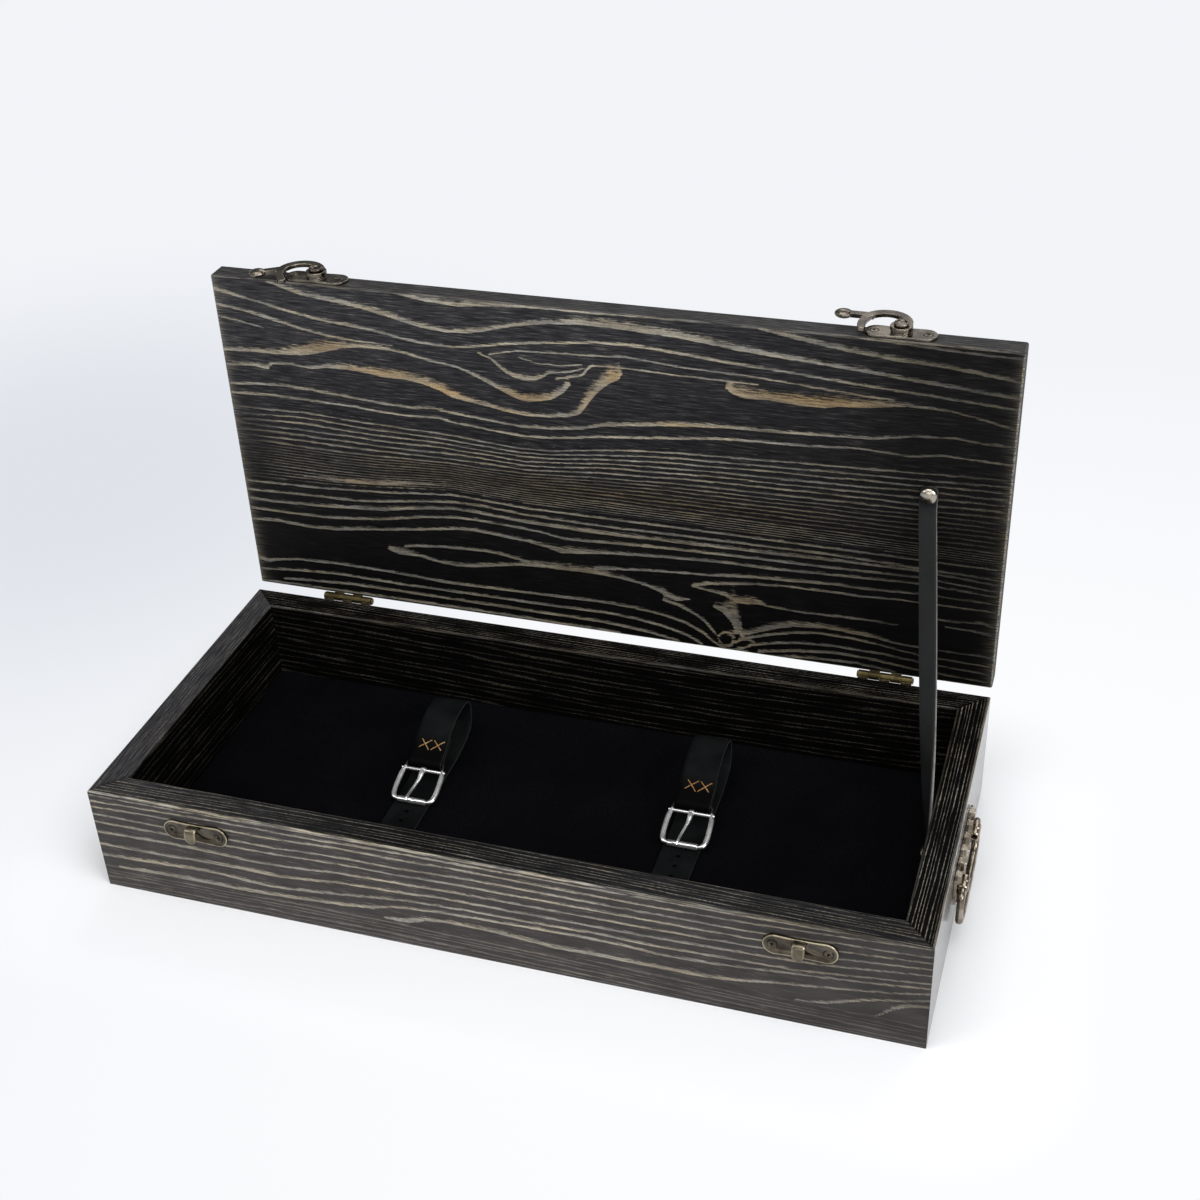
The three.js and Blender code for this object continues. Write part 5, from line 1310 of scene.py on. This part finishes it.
print("a stroke has", 2 * (STROKE_STEPS + 1), "rings of points")

# %% Crosses
CROSS_WIDE, CROSS_LONG, CROSS_SPACING = 8.0, 7.2, 8.2
CROSS_MIDDLE, CROSS_SHIFT = 11.6, 0.9
CROSS_LIFT = 0.5


def sewn_crosses(side, sign):
    """Two crosses side by side, each of two strokes that are a little uneven, as handwork is."""
    base = strap_base(side, sign)
    low, high = CROSS_MIDDLE - CROSS_LONG / 2, CROSS_MIDDLE + CROSS_LONG / 2
    strokes = []
    for k, tilt in ((-0.5, 0.5), (0.5, -0.35)):
        x = CROSS_SHIFT + k * CROSS_SPACING
        left, right = x - CROSS_WIDE / 2, x + CROSS_WIDE / 2
        strokes.append(stitch(base, (left, low + tilt), (right, high), 0))
        strokes.append(stitch(base, (left + 0.6, high), (right - 0.7, low - tilt), CROSS_LIFT))
    made = piece(f"sewn_crosses_{side}", *joined(*strokes), linen.material, "case")
    print(made.name, len(made.data.vertices), "vertices")


for side, sign in SIDES:
    sewn_crosses(side, sign)

# %% [markdown]
# ## The stay
# A plain leather strip keeps the lid from falling back. It lies flat against the lid at its upper stud
# and turns a quarter round on its way down, so that it lies flat against the end board at its lower
# stud. It crosses the hinge, so a real stay bends between the case and the lid when the lid is shut; here
# it is swept in its open shape only and rides on no body. A bevelled curve could carry the strip, but its
# section would twist where it likes; sweeping it with a facing of its own says where each part of the
# turn happens.

# %% Route of the stay
STAY_WIDTH, STAY_THICK = 10.5, 1.9
UPPER_STUD = np.array([203.0, 117.65 - PLAY - STAY_THICK / 2, 208.5])
LOWER_STUD = np.array([232 - PLAY - STAY_THICK / 2, -9.97, 45.97])
STAY_END, STAY_FLAT = 5.8, 9.0
STAY_SAG = np.array([0, 0.9, -0.9])

wall_way = UPPER_STUD - LOWER_STUD
wall_way[0] = 0
wall_way /= np.linalg.norm(wall_way)
head = UPPER_STUD - (0, 0, STAY_FLAT)
foot = LOWER_STUD + wall_way * STAY_FLAT
route = [UPPER_STUD + (0, 0, STAY_END), UPPER_STUD, head]
for share in (0.12, 0.3, 0.5, 0.7, 0.88):
    route.append(head * (1 - share) + foot * share + STAY_SAG * math.sin(math.pi * share))
route += [foot, LOWER_STUD, LOWER_STUD - wall_way * STAY_END]
stay_line = centripetal(route, 150)
gone = walked_along(stay_line)
stay_length = gone[-1]
gone = gone / stay_length
print("stay:", round(float(stay_length), 1), "mm long")

# %% Stay strap
STAY_EDGE_AND_HIGHLIGHT = (0.25, 1.0)
STAY_TURNED, STAY_LATE = 0.955, 4.2
STAY_ROUND, STAY_BORDER = 3.0, 0.12

stay_way = directions(stay_line)
quarter = np.clip(gone / STAY_TURNED, 0, 1) ** STAY_LATE * math.pi / 2
facing = np.column_stack([-np.sin(quarter), -np.cos(quarter), np.zeros(len(gone))])
across = aside_of(stay_way, facing)
section = band_section(STAY_WIDTH, STAY_THICK, 0.35, across=8, crown=0.05)
from_end = np.minimum(gone, 1 - gone) * stay_length
round_end = np.sqrt(np.clip(1 - (1 - np.clip(from_end / STAY_ROUND, 0, 1)) ** 2, 0.12, 1))
points, faces = sweep(stay_line, across, np.cross(across, stay_way), section, scale=narrowing(round_end))
stay = piece("leather_stay", points, faces, stay_leather, None, ["stay_strap"], "leather")

# Both cut edges are paler leather; the brighter one also carries a painted highlight, as if lit from its side
off_middle = section[:, 0] / (STAY_WIDTH / 2 - STAY_BORDER)
cut_edge_and_highlight = np.where(off_middle > 1, STAY_EDGE_AND_HIGHLIGHT[0], np.where(off_middle < -1, STAY_EDGE_AND_HIGHLIGHT[1], 0))
store(stay, "edge", np.outer(np.clip(from_end / 8, 0.1, 1), cut_edge_and_highlight).ravel())
store(stay, "shade", np.zeros(len(points)))
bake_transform(stay)
print("stay:", len(points), "vertices")

# %% [markdown]
# ## Worn metal
# The fittings are cheap plated steel that has been darkened. Handling rubs the plating bright along
# every edge, while the hollows keep their brown. The bevel node finds the edges: where its rounded
# normal leaves the face's own, the metal is worn. It also lets light catch each edge, as a pressed
# part's soft edges do. The hinges, handle plates, latch bases and hooks have the right shape already, so
# they keep their solids.


# %% Metal finish
def worn_metal(name, base, dark, bright, edge_width, rough, wear=0.8, pits=0.05, metallic=1.0, speckle=0.5):
    """Wear is how bright the edges get, pits are in millimetres, and speckle is how dark the grit is."""
    metal = Finish(name, Metallic=metallic)
    cloud = metal.noise(metal.place((110, 110, 110)))
    grit = metal.noise(metal.place((900, 900, 900)), detail=4, roughness=0.65)
    edge = metal.node("Bevel")
    edge.samples = 6
    edge.inputs["Radius"].default_value = edge_width * MM
    flat = metal.node("NewGeometry").outputs["Normal"]
    facing = metal.vector("DOT_PRODUCT", edge.outputs["Normal"], flat, output="Value")
    rubbed = metal.times(metal.span(facing, 0.86, 0.995, 1.0, 0.0), metal.span(cloud, 0.25, 0.6, 0.35, 1.0))
    color = metal.blend(metal.span(cloud, 0.35, 0.68), dark, base)
    color = metal.blend(metal.times(metal.span(grit, 0.42, 0.7), speckle), color, dark)
    # Painted highlight where a piece stores one, in the bright colour of a rubbed edge
    painted_highlight = metal.times(metal.stored("painted_highlight"), metal.span(cloud, 0.25, 0.6, 0.5, 1.0))
    color = metal.blend(metal.larger(metal.times(rubbed, wear), painted_highlight), color, bright)
    # Painted shade: where a piece stores deep, the colour goes nearly black, as shade in a recess or under
    # leather
    color = metal.blend(metal.stored("deep"), color, tuple(c * 0.12 for c in dark))
    roughness = metal.span(grit, 0.3, 0.7, rough - 0.03, rough + 0.04)
    return metal.finish(color, roughness, metal.bump(grit, pits * MM, 0.6, below=edge.outputs["Normal"]))


bronze = worn_metal("aged_bronze", (0.124, 0.105, 0.080), (0.052, 0.043, 0.033), (0.84, 0.75, 0.52),
                    edge_width=0.34, rough=0.3, pits=0.014, speckle=0.35)
hook_bronze = worn_metal("hook_bronze", (0.205, 0.180, 0.148), (0.088, 0.074, 0.062), (0.80, 0.74, 0.58),
                         edge_width=0.3, rough=0.25, wear=0.6, pits=0.002, speckle=0.08)
handle_bronze = worn_metal("handle_bronze", (0.37, 0.325, 0.265), (0.17, 0.135, 0.102), (0.84, 0.79, 0.70),
                           edge_width=0.3, rough=0.25, wear=0.45, pits=0.001, speckle=0.06)
brass = worn_metal("aged_brass", (0.105, 0.084, 0.036), (0.045, 0.035, 0.015), (0.36, 0.30, 0.15),
                   edge_width=0.25, rough=0.42, wear=0.5)
nickel = worn_metal("dull_nickel", (0.50, 0.46, 0.39), (0.40, 0.36, 0.30), (0.70, 0.66, 0.60),
                    edge_width=0.5, rough=0.26, pits=0.001)
# The chrome's darker noise stretches are painted reflection of its dark surroundings
chrome = worn_metal("chrome_plate", (0.97, 0.97, 0.96), (0.62, 0.62, 0.62), (1.0, 1.0, 1.0),
                    edge_width=0.2, rough=0.15, pits=0.012, metallic=0.86)
print("metals: bronze, hook bronze, handle bronze, brass, nickel, chrome")

# %% Finishes for the solids that stay
METALS = {
    # what a fitting's name starts with: its finish, and the slot of the record that it belongs to
    "hinge": (brass, "aged_brass"),
    "handle": (handle_bronze, "copper_bronze"),
    "catch": (bronze, "aged_bronze"),
    "latch": (hook_bronze, "aged_bronze"),
}

fittings = [name for name in nodes if name.split("_")[0] in METALS]
for name in fittings:
    repaint(METALS[name.split("_")[0]][0], name)
print("fittings repainted:", len(fittings))

# %% [markdown]
# ## Turned pieces
# A turned piece is a profile of (radius, height) spun round an axis. What isn't round, such as the cross
# in a screw's head, is pressed into it afterwards by moving the vertices that lie inside the cross.


# %% Turning
def turned(profile, sides=32):
    """Points and faces of a closed turned piece along +Z; profile runs from the foot to the crown."""
    turn = np.linspace(0, 2 * math.pi, sides, endpoint=False)
    points = [(r * math.cos(a), r * math.sin(a), h) for r, h in profile for a in turn]
    faces = []
    for ring in range(len(profile) - 1):
        here = ring * sides + np.arange(sides)
        faces += np.stack([here, np.roll(here, -1), np.roll(here, -1) + sides, here + sides], 1).tolist()
    points += [(0, 0, profile[0][1]), (0, 0, profile[-1][1])]
    low, high = len(points) - 2, len(points) - 1
    last = (len(profile) - 1) * sides
    for k in range(sides):
        faces.append([low, (k + 1) % sides, k])
        faces.append([high, last + k, last + (k + 1) % sides])
    return np.array(points), faces


def aimed(points, direction, place, spin=0.0):
    """Turns points from +Z to a direction, and moves them to a place."""
    tilt = Vector((0, 0, 1)).rotation_difference(Vector(direction)).to_matrix()
    return points @ np.array(tilt @ Matrix.Rotation(spin, 3, "Z")).T + np.array(place)


def crown(node, direction):
    """The middle of the end of a node that looks in a direction along one axis, and its length there."""
    low, high = box_of(node)
    middle = (low + high) / 2
    axis = int(np.argmax(np.abs(direction)))
    middle[axis] = high[axis] if direction[axis] > 0 else low[axis]
    return middle, high[axis] - low[axis]


print("a latch rivet is", round(float(crown("latch_rivet_left", (0, 0, 1))[1]), 1), "mm long")

# %% [markdown]
# ## Screws
# All screws are cross-headed countersunk wood screws. A head is turned with rings close enough to press
# the cross into it, and it stands a little proud, as in the photograph. Each is turned by another angle,
# because nobody lines up twenty screws.

# %% Screws
HEAD_RADIUS, SHANK_RADIUS = 2.7, 1.1
CROSS_ARM, CROSS_HALF, CROSS_DEPTH = 1.3, 0.44, 0.8
HEAD_PROUD, HEAD_RISE = 0.42, 0.32
SCREW_DIRECTIONS = {
    "hinge_case": (0, 1, 0),
    "hinge_lid": (0, 0, -1),
    "catch": (0, -1, 0),
    "latch": (0, 0, 1),
}


def screw(node, direction, finish, slot, body, spin):
    """One screw whose head looks in a direction; spin is how far its cross is turned."""
    place, length = crown(node, direction)
    profile = [(0.2, -length), (SHANK_RADIUS, -length + 1.5), (SHANK_RADIUS, -1.6)]
    profile.append((HEAD_RADIUS - 0.2, -0.35))
    for r in np.linspace(HEAD_RADIUS, 0.12, 13):
        profile.append((r, -0.3 + HEAD_RISE * (1 - (r / HEAD_RADIUS) ** 2)))
    points, faces = turned(profile, 40)
    x, y, h = points.T
    lengthways = np.maximum(np.abs(x) - CROSS_ARM, np.abs(y) - CROSS_HALF)
    crossways = np.maximum(np.abs(y) - CROSS_ARM, np.abs(x) - CROSS_HALF)
    inside = np.clip(-np.minimum(lengthways, crossways) / 0.15 + 0.4, 0, 1)
    sunk = np.where(h > -0.35, inside, 0)
    seat_shade = np.exp(-(((np.hypot(x, y) - HEAD_RADIUS) / 0.4) ** 2))
    points[:, 2] += np.where(h > -1.5, HEAD_PROUD, 0) - CROSS_DEPTH * sunk
    points = aimed(points, direction, place, spin)
    head = piece(node + "_head", points, faces, finish, body, [node], slot)
    # Painted shade in the cross and in a ring where the head meets its seat
    store(head, "deep", np.maximum(sunk, seat_shade * 0.9))


screw_names = sorted(name for name in nodes if "_screw_" in name)
for number, name in enumerate(screw_names):
    kind = name.split("_screw_")[0]
    direction = SCREW_DIRECTIONS.get(kind) or ((1, 0, 0) if "right" in name else (-1, 0, 0))
    body = "lid" if kind in ("hinge_lid", "latch") else "case"
    screw(name, direction, *METALS[kind.split("_")[0]], body, 0.4 + number * 1.3)
print("screws:", len(screw_names))

# %% [markdown]
# ## Rivets and studs
# A dished rivet carries each hook, and a domed stud holds each end of the stay. Both are plain turned
# shapes. A sphere cut in half would give the dome, but not the undercut edge that seats it.

# %% Rivets and studs
RIVET_PROFILE = [(2.0, -1.8), (4.2, -1.8), (4.4, -1.5), (4.4, -0.8), (4.15, -0.25), (3.7, 0), (3.3, -0.05),
                 (2.9, -0.35), (2.6, -0.75), (2.2, -0.95), (1.4, -1.0), (0.5, -0.9)]
STUD_RADIUS, STUD_SHANK, STUD_HEIGHT = 5.3, 1.7, 3.0
STUDS = [
    ("stay_upper_stud", (0, -1, 0), "lid", nickel),
    ("stay_lower_stud", (-1, 0, 0), "case", bronze),
]

for side, _ in SIDES:
    node = f"latch_rivet_{side}"
    place, length = crown(node, (0, 0, 1))
    points, faces = turned([(2.0, -length)] + RIVET_PROFILE)
    points = aimed(points, (0, 0, 1), place)
    piece(f"dished_rivet_{side}", points, faces, hook_bronze, "lid", [node], "aged_bronze")

dome = [
    (STUD_SHANK, -STUD_HEIGHT),
    (STUD_RADIUS - 0.3, -STUD_HEIGHT),
    (STUD_RADIUS, -STUD_HEIGHT + 0.15),
]
for angle in np.linspace(0, math.radians(87), 12):
    height = -STUD_HEIGHT + 0.35 + (STUD_HEIGHT - 0.35) * math.sin(angle)
    dome.append((STUD_RADIUS * math.cos(angle), height))
for node, direction, body, finish in STUDS:
    place, length = crown(node, direction)
    points, faces = turned([(STUD_SHANK, -length)] + dome, 40)
    points = aimed(points, direction, place)
    piece(node + "_dome", points, faces, finish, body, [node], "aged_brass")
print("rivets and studs:", len(SIDES) + len(STUDS))

# %% [markdown]
# ## Catches
# Each catch is stamped from one sheet: a plate with two round ends, and a tongue that is drawn up at its
# top and curls over forwards and down, so that the hook's band can slide in behind it. Plate and tongue
# are made apart and joined in one mesh, as one stamping is one piece of metal. The tongue could be bent
# out of the plate with a modifier, but a short swept strip is easier to keep clear of the hook.

# %% Catch plate
CATCH_X, CATCH_MIDDLE = 180.0, 57.1
PLATE_LONG, PLATE_HIGH, PLATE_WAIST, PLATE_THICK = 41.4, 13.8, 12.8, 1.6
PLATE_BEVEL, PLATE_STANDS_OFF = 0.45, 0.3
HIGHLIGHT_RINGS = [0.0, 0.15, 0.5, 0.55, 0.0]


def lobed_outline(half_long, end_radius, waist):
    """Outline in X and Z: a round end, the upper waist, the other end, the lower waist."""
    lobe = half_long - end_radius
    outline = []
    for sign, first_turn in ((1, -90), (-1, 90)):
        for turn in np.radians(np.linspace(first_turn, first_turn + 180, 16)):
            outline.append((sign * lobe + end_radius * math.cos(turn), end_radius * math.sin(turn)))
        for x in np.linspace(sign * lobe, -sign * lobe, 14)[1:-1]:
            outline.append((x, sign * (waist + (end_radius - waist) * (x / lobe) ** 2)))
    return np.array(outline)


def catch_plate():
    """A bevelled plate whose front face looks to -Y, and how much painted highlight each point gets on its
    bevel.
    """
    outline = lobed_outline(PLATE_LONG / 2, PLATE_HIGH / 2, PLATE_WAIST / 2)
    way = directions(outline, closed=True)
    out = np.stack([way[:, 1], -way[:, 0]], 1)
    thick, bevel = PLATE_THICK, PLATE_BEVEL
    rings = []
    for inset, depth in ((0.0, 0.0), (0.0, thick - bevel), (bevel * 0.3, thick - bevel * 0.3),
                         (bevel, thick), (bevel + 0.5, thick - 0.06)):
        ring = outline - out * inset
        rings.append(np.column_stack([ring[:, 0], np.full(len(ring), -depth), ring[:, 1]]))
    count = len(outline)
    faces = []
    for k in range(len(rings) - 1):
        here = k * count + np.arange(count)
        faces += np.stack([here, np.roll(here, -1), np.roll(here, -1) + count, here + count], 1).tolist()
    faces.append(list(range(count))[::-1])
    faces.append(list(range((len(rings) - 1) * count, len(rings) * count)))
    return np.concatenate(rings), faces, np.repeat(HIGHLIGHT_RINGS, count)


print("catch plate:", len(catch_plate()[0]), "points")

# %% Catch tongue
TONGUE_WIDE, TONGUE_THICK, TONGUE_CUP = 7.2, 1.4, 0.35
TONGUE_PATH = [
    # out from the board, up from the case's foot
    (1.6, 60.4), (2.6, 62.4), (4.5, 63.5), (6.5, 63.0), (7.6, 60.9), (7.72, 58.2), (7.6, 55.8), (7.25, 53.8),
]
TONGUE_ROUND = 0.3
TONGUE_HIGHLIGHT = ([0, 0.3, 0.7, 0.9], [0.15, 0.3, 0.45, 0.1])


def catch_tongue():
    """The curled tongue in the middle of the front board, and how much painted highlight each of its points
    gets.
    """
    curl = centripetal([(0.0, -HALF_DEPTH - out, up) for out, up in TONGUE_PATH], 40)
    sideways = same_along((1.0, 0.0, 0.0), curl)
    section = band_section(TONGUE_WIDE, TONGUE_THICK, 0.4, across=8)
    section[:, 1] += TONGUE_CUP * (section[:, 0] / TONGUE_WIDE * 2) ** 2
    left_over = np.linspace(1, 0, len(curl))
    rounded = np.sqrt(np.clip(1 - (1 - left_over / TONGUE_ROUND) ** 2, 0.05, 1))
    scale = narrowing(np.where(left_over < TONGUE_ROUND, rounded, 1))
    points, faces = sweep(curl, sideways, np.cross(sideways, directions(curl)), section, scale=scale)
    at_borders = 0.35 + 0.65 * (np.abs(section[:, 0]) > TONGUE_WIDE / 2 - 0.5)
    painted_highlight = np.outer(np.interp(left_over, *TONGUE_HIGHLIGHT), at_borders).ravel()
    return points, faces, painted_highlight


print("catch tongue:", len(catch_tongue()[0]), "points")

# %% Catches
SCREW_SPREAD = 15.3

for side, sign in SIDES:
    middle = sign * CATCH_X
    plate_points, plate_faces, plate_highlight = catch_plate()
    tongue_points, tongue_faces, tongue_highlight = catch_tongue()
    plate_points = plate_points + (middle, -HALF_DEPTH - PLATE_STANDS_OFF, CATCH_MIDDLE)
    tongue_points = tongue_points + (middle, 0, 0)
    points, faces = joined((plate_points, plate_faces), (tongue_points, tongue_faces))
    node = f"catch_plate_{side}"
    catch = piece(f"stamped_catch_{side}", points, faces, bronze, "case", [node], "aged_bronze")
    store(catch, "painted_highlight", np.concatenate([plate_highlight, tongue_highlight]))
    seats = []
    for x in (middle - SCREW_SPREAD, middle + SCREW_SPREAD):
        ends = (x, -HALF_DEPTH - 3, CATCH_MIDDLE), (x, -HALF_DEPTH, CATCH_MIDDLE)
        seats.append(tube(*ends, HEAD_RADIUS + 0.1, 32))
    drill(catch, *seats)
    print(catch.name, len(catch.data.vertices), "vertices")

# %% [markdown]
# ## Buckles
# A roller buckle is a bent wire frame, heavier at its sides, with a tube on its front bar that lets the
# strap slide. A thin bar crosses it near the strap's fold and carries the prong. Frame, roller and prong
# move on their own, so each is a piece. All three are placed in the buckle's own plane, which slopes
# down from the fold to where the roller lies on the strap. The wire could be a bevelled curve, but it is
# flatter at its sides than at its ends, which a sweep with a changing scale gives.

# %% The buckle's plane
FRAME_LONG, FRAME_SHIFT = 28.2, 0.5
PRONG_BAR_AT, ROLLER_RADIUS = 5.6, 1.9
UNDER_STRAP = 0.6

slope = math.asin((heel[1] - (UNDER_STRAP + STRAP_THICK + ROLLER_RADIUS)) / FRAME_LONG)


def on_buckle(side, sign, spots):
    """Places on a buckle from (across, forward, off its plane)."""
    across, forward, off = np.array(spots, float).T
    x = sign * STRAP_X + FRAME_SHIFT + across
    y = STRAP_STARTS[side] + heel[0] - forward * math.cos(slope) - off * math.sin(slope)
    z = FELT_TOP + heel[1] - forward * math.sin(slope) + off * math.cos(slope)
    return np.stack([x, y, z], 1)


def mirrored(profile):
    """A profile's own mirror image, to go on after it."""
    return [(r, -a) for r, a in reversed(profile)]


def crossbar(side, sign, forward, profile):
    """A turned bar across the buckle; profile is (radius, across)."""
    points, faces = turned(profile, 24)
    return aimed(points, (1, 0, 0), on_buckle(side, sign, [(0, forward, 0)])[0]), faces


def buckle_part(name, kind, side, parts):
    """One piece of chromed metal that moves as the body, and stands for the node, of its kind."""
    node = f"buckle_{kind}_{side}"
    return piece(f"{name}_{side}", *joined(*parts), chrome, node, [node], "chrome")


print("buckles slope by", round(math.degrees(slope), 1), "degrees")

# %% Buckle frame
HALF_OUTLINE = [
    # across, forward from the heel
    (10, 0), (11.7, 0.6), (12.1, 2.6), (12.4, 5), (13.2, 8.5), (13.6, 15), (13.5, 22), (12.6, 26.3),
    (9.8, 28.1),
]
OUTLINE = [(-10, 0), (0, 0)] + HALF_OUTLINE + [(0, 28.2)] + [(-a, f) for a, f in reversed(HALF_OUTLINE[1:])]
WIRE_SIDES, WIRE_RADIUS = 14, 1.1
BAR_HALF, BAR_RADIUS = 13.9, 1.05


def wire_frame(side, sign):
    """The bent wire, heavier at its sides, with the thin bar that carries the prong."""
    flat = centripetal([(a, f, 0.0) for a, f in OUTLINE + OUTLINE[:1]], 180)[:-1]
    line = on_buckle(side, sign, flat)
    normal = on_buckle(side, sign, [(0, 0, 1)])[0] - on_buckle(side, sign, [(0, 0, 0)])[0]
    outward = same_along(normal, line)
    sideways = np.cross(directions(line, closed=True), outward)
    heavy = eased(np.clip((np.abs(flat[:, 0]) - 9.5) / 3, 0, 1)) * np.clip((flat[:, 1] - 4) / 5, -0.5, 1)
    scale = np.column_stack([WIRE_RADIUS + 0.6 * heavy, WIRE_RADIUS + 0.1 * heavy])
    wire = sweep(line, sideways, outward, circle_section(1.0, WIRE_SIDES), closed=True, scale=scale)
    cap = []
    for angle in np.linspace(0.15, math.pi / 2, 6):
        cap.append((BAR_RADIUS * math.sin(angle), -BAR_HALF - BAR_RADIUS * math.cos(angle) * 0.8))
    bar = crossbar(side, sign, PRONG_BAR_AT, cap + mirrored(cap))
    frame_piece = buckle_part("wire_buckle", "frame", side, [wire, bar])
    # Painted shade: the heel that the strap wraps is darkened as if in the fold's shadow
    heel_shade = np.interp(flat[:, 1], [PRONG_BAR_AT - 1.6, PRONG_BAR_AT - 0.8], [1.0, 0.0])
    store(frame_piece, "deep", np.concatenate([np.repeat(heel_shade, WIRE_SIDES), np.zeros(len(bar[0]))]))
    print(frame_piece.name, len(frame_piece.data.vertices), "vertices")


print("frame outline:", len(OUTLINE), "points")

# %% Buckle roller and prong
ROLLER_HALF, ROLLER_BORE = 9.3, 1.3
PRONG_WIDE, PRONG_THICK, PRONG_CORNER = 3.2, 1.45, 0.6
PRONG_NARROWS, PRONG_TIP = 0.46, 0.06
ROLLER_END = [(ROLLER_BORE, -ROLLER_HALF), (ROLLER_RADIUS - 0.15, -ROLLER_HALF),
              (ROLLER_RADIUS, -ROLLER_HALF + 0.25), (ROLLER_RADIUS, -0.2)]
COIL_END = [(1.2, -1.6), (1.75, -1.6), (1.9, -1.4)]
REACH = FRAME_LONG - PRONG_BAR_AT
PRONG_PATH = [
    # across, forward from the prong's bar, off the buckle's plane
    (0, -0.7, 0.5), (0, 0.5, 1.1), (0, 2.6, 1.3), (-0.2, 0.3 * REACH, 1.05), (-1.3, 0.55 * REACH, 1.0),
    (-2.3, 0.76 * REACH, 1.5), (-2.7, REACH, 2.85), (-2.7, REACH + 2.3, 2.35),
]


def roller_and_prong(side, sign):
    """The tube on the front bar, and the prong with the coil that turns on its own bar."""
    # A fine groove runs round the roller's middle
    groove = [(ROLLER_RADIUS - 0.05, 0)]
    tube_profile = ROLLER_END + groove + mirrored(ROLLER_END)
    buckle_part("roller_tube", "roller", side, [crossbar(side, sign, FRAME_LONG, tube_profile)])
    stem = centripetal([(across, PRONG_BAR_AT + forward, off) for across, forward, off in PRONG_PATH], 48)
    line = on_buckle(side, sign, stem)
    sideways = same_along((1.0, 0.0, 0.0), line)
    share = np.linspace(0, 1, len(line))
    wide = 1 - PRONG_NARROWS * eased(np.clip((share - 0.3) / 0.25, 0, 1))
    wide = wide * np.sqrt(np.clip((1.0 - share) / PRONG_TIP, 0.15, 1))
    section = band_section(PRONG_WIDE, PRONG_THICK, PRONG_CORNER, across=5)
    blade = sweep(line, sideways, np.cross(sideways, directions(line)), section, scale=narrowing(wide))
    coil = crossbar(side, sign, PRONG_BAR_AT, COIL_END + mirrored(COIL_END))
    prong = buckle_part("buckle_tongue", "prong", side, [blade, coil])
    print(prong.name, len(prong.data.vertices), "vertices")


print("the prong reaches", round(REACH, 1), "mm from its bar to the roller")

# %% Buckles
for side, sign in SIDES:
    wire_frame(side, sign)
    roller_and_prong(side, sign)

# %% [markdown]
# ## Handle bails
# The bail is one cast bar: thin where it turns in the bosses, thicker down its legs and fullest in the
# grip. Half of its path is written down, each point with the bar's radius there, and the other half
# mirrors it. A bent rod of one thickness would be simpler, but its swelling grip is what shows that it
# was cast.

# %% Bails
HANDLE_Z, BAIL_X = 40.88, 254.9
STEP, LEG = 46.8 / 2 + 5.4, 71.0 / 2
BAIL_PATH = [
    # across, up from the bosses, radius
    (STEP - 8, 0, 1.5), (STEP, 0, 1.5), (STEP + 0.5, 0, 2.0), (LEG - 4, 0, 2.1), (LEG - 1.2, -1.1, 2.15),
    (LEG, -4.2, 2.1), (LEG, -13, 2.2), (LEG - 1.4, -18, 2.3), (LEG - 6.5, -21.6, 2.4), (LEG - 13, -22, 2.5),
    (0, -22, 2.6),
]

whole_path = BAIL_PATH + [(-y, z, r) for y, z, r in reversed(BAIL_PATH[:-1])]
smooth = centripetal(whole_path, 140)
for side, sign in SIDES:
    line = np.column_stack([np.full(len(smooth), sign * BAIL_X), smooth[:, 0], HANDLE_Z + smooth[:, 1]])
    outward = same_along((1.0, 0.0, 0.0), line)
    sideways = np.cross(directions(line), outward)
    points, faces = sweep(line, sideways, outward, circle_section(1.0, 16), scale=smooth[:, 2])
    node = f"handle_bail_{side}"
    piece(f"cast_bail_{side}", points, faces, handle_bronze, node, [node], "copper_bronze")
print("bails hang", -min(z for _, z, _ in BAIL_PATH), "mm below their bosses")
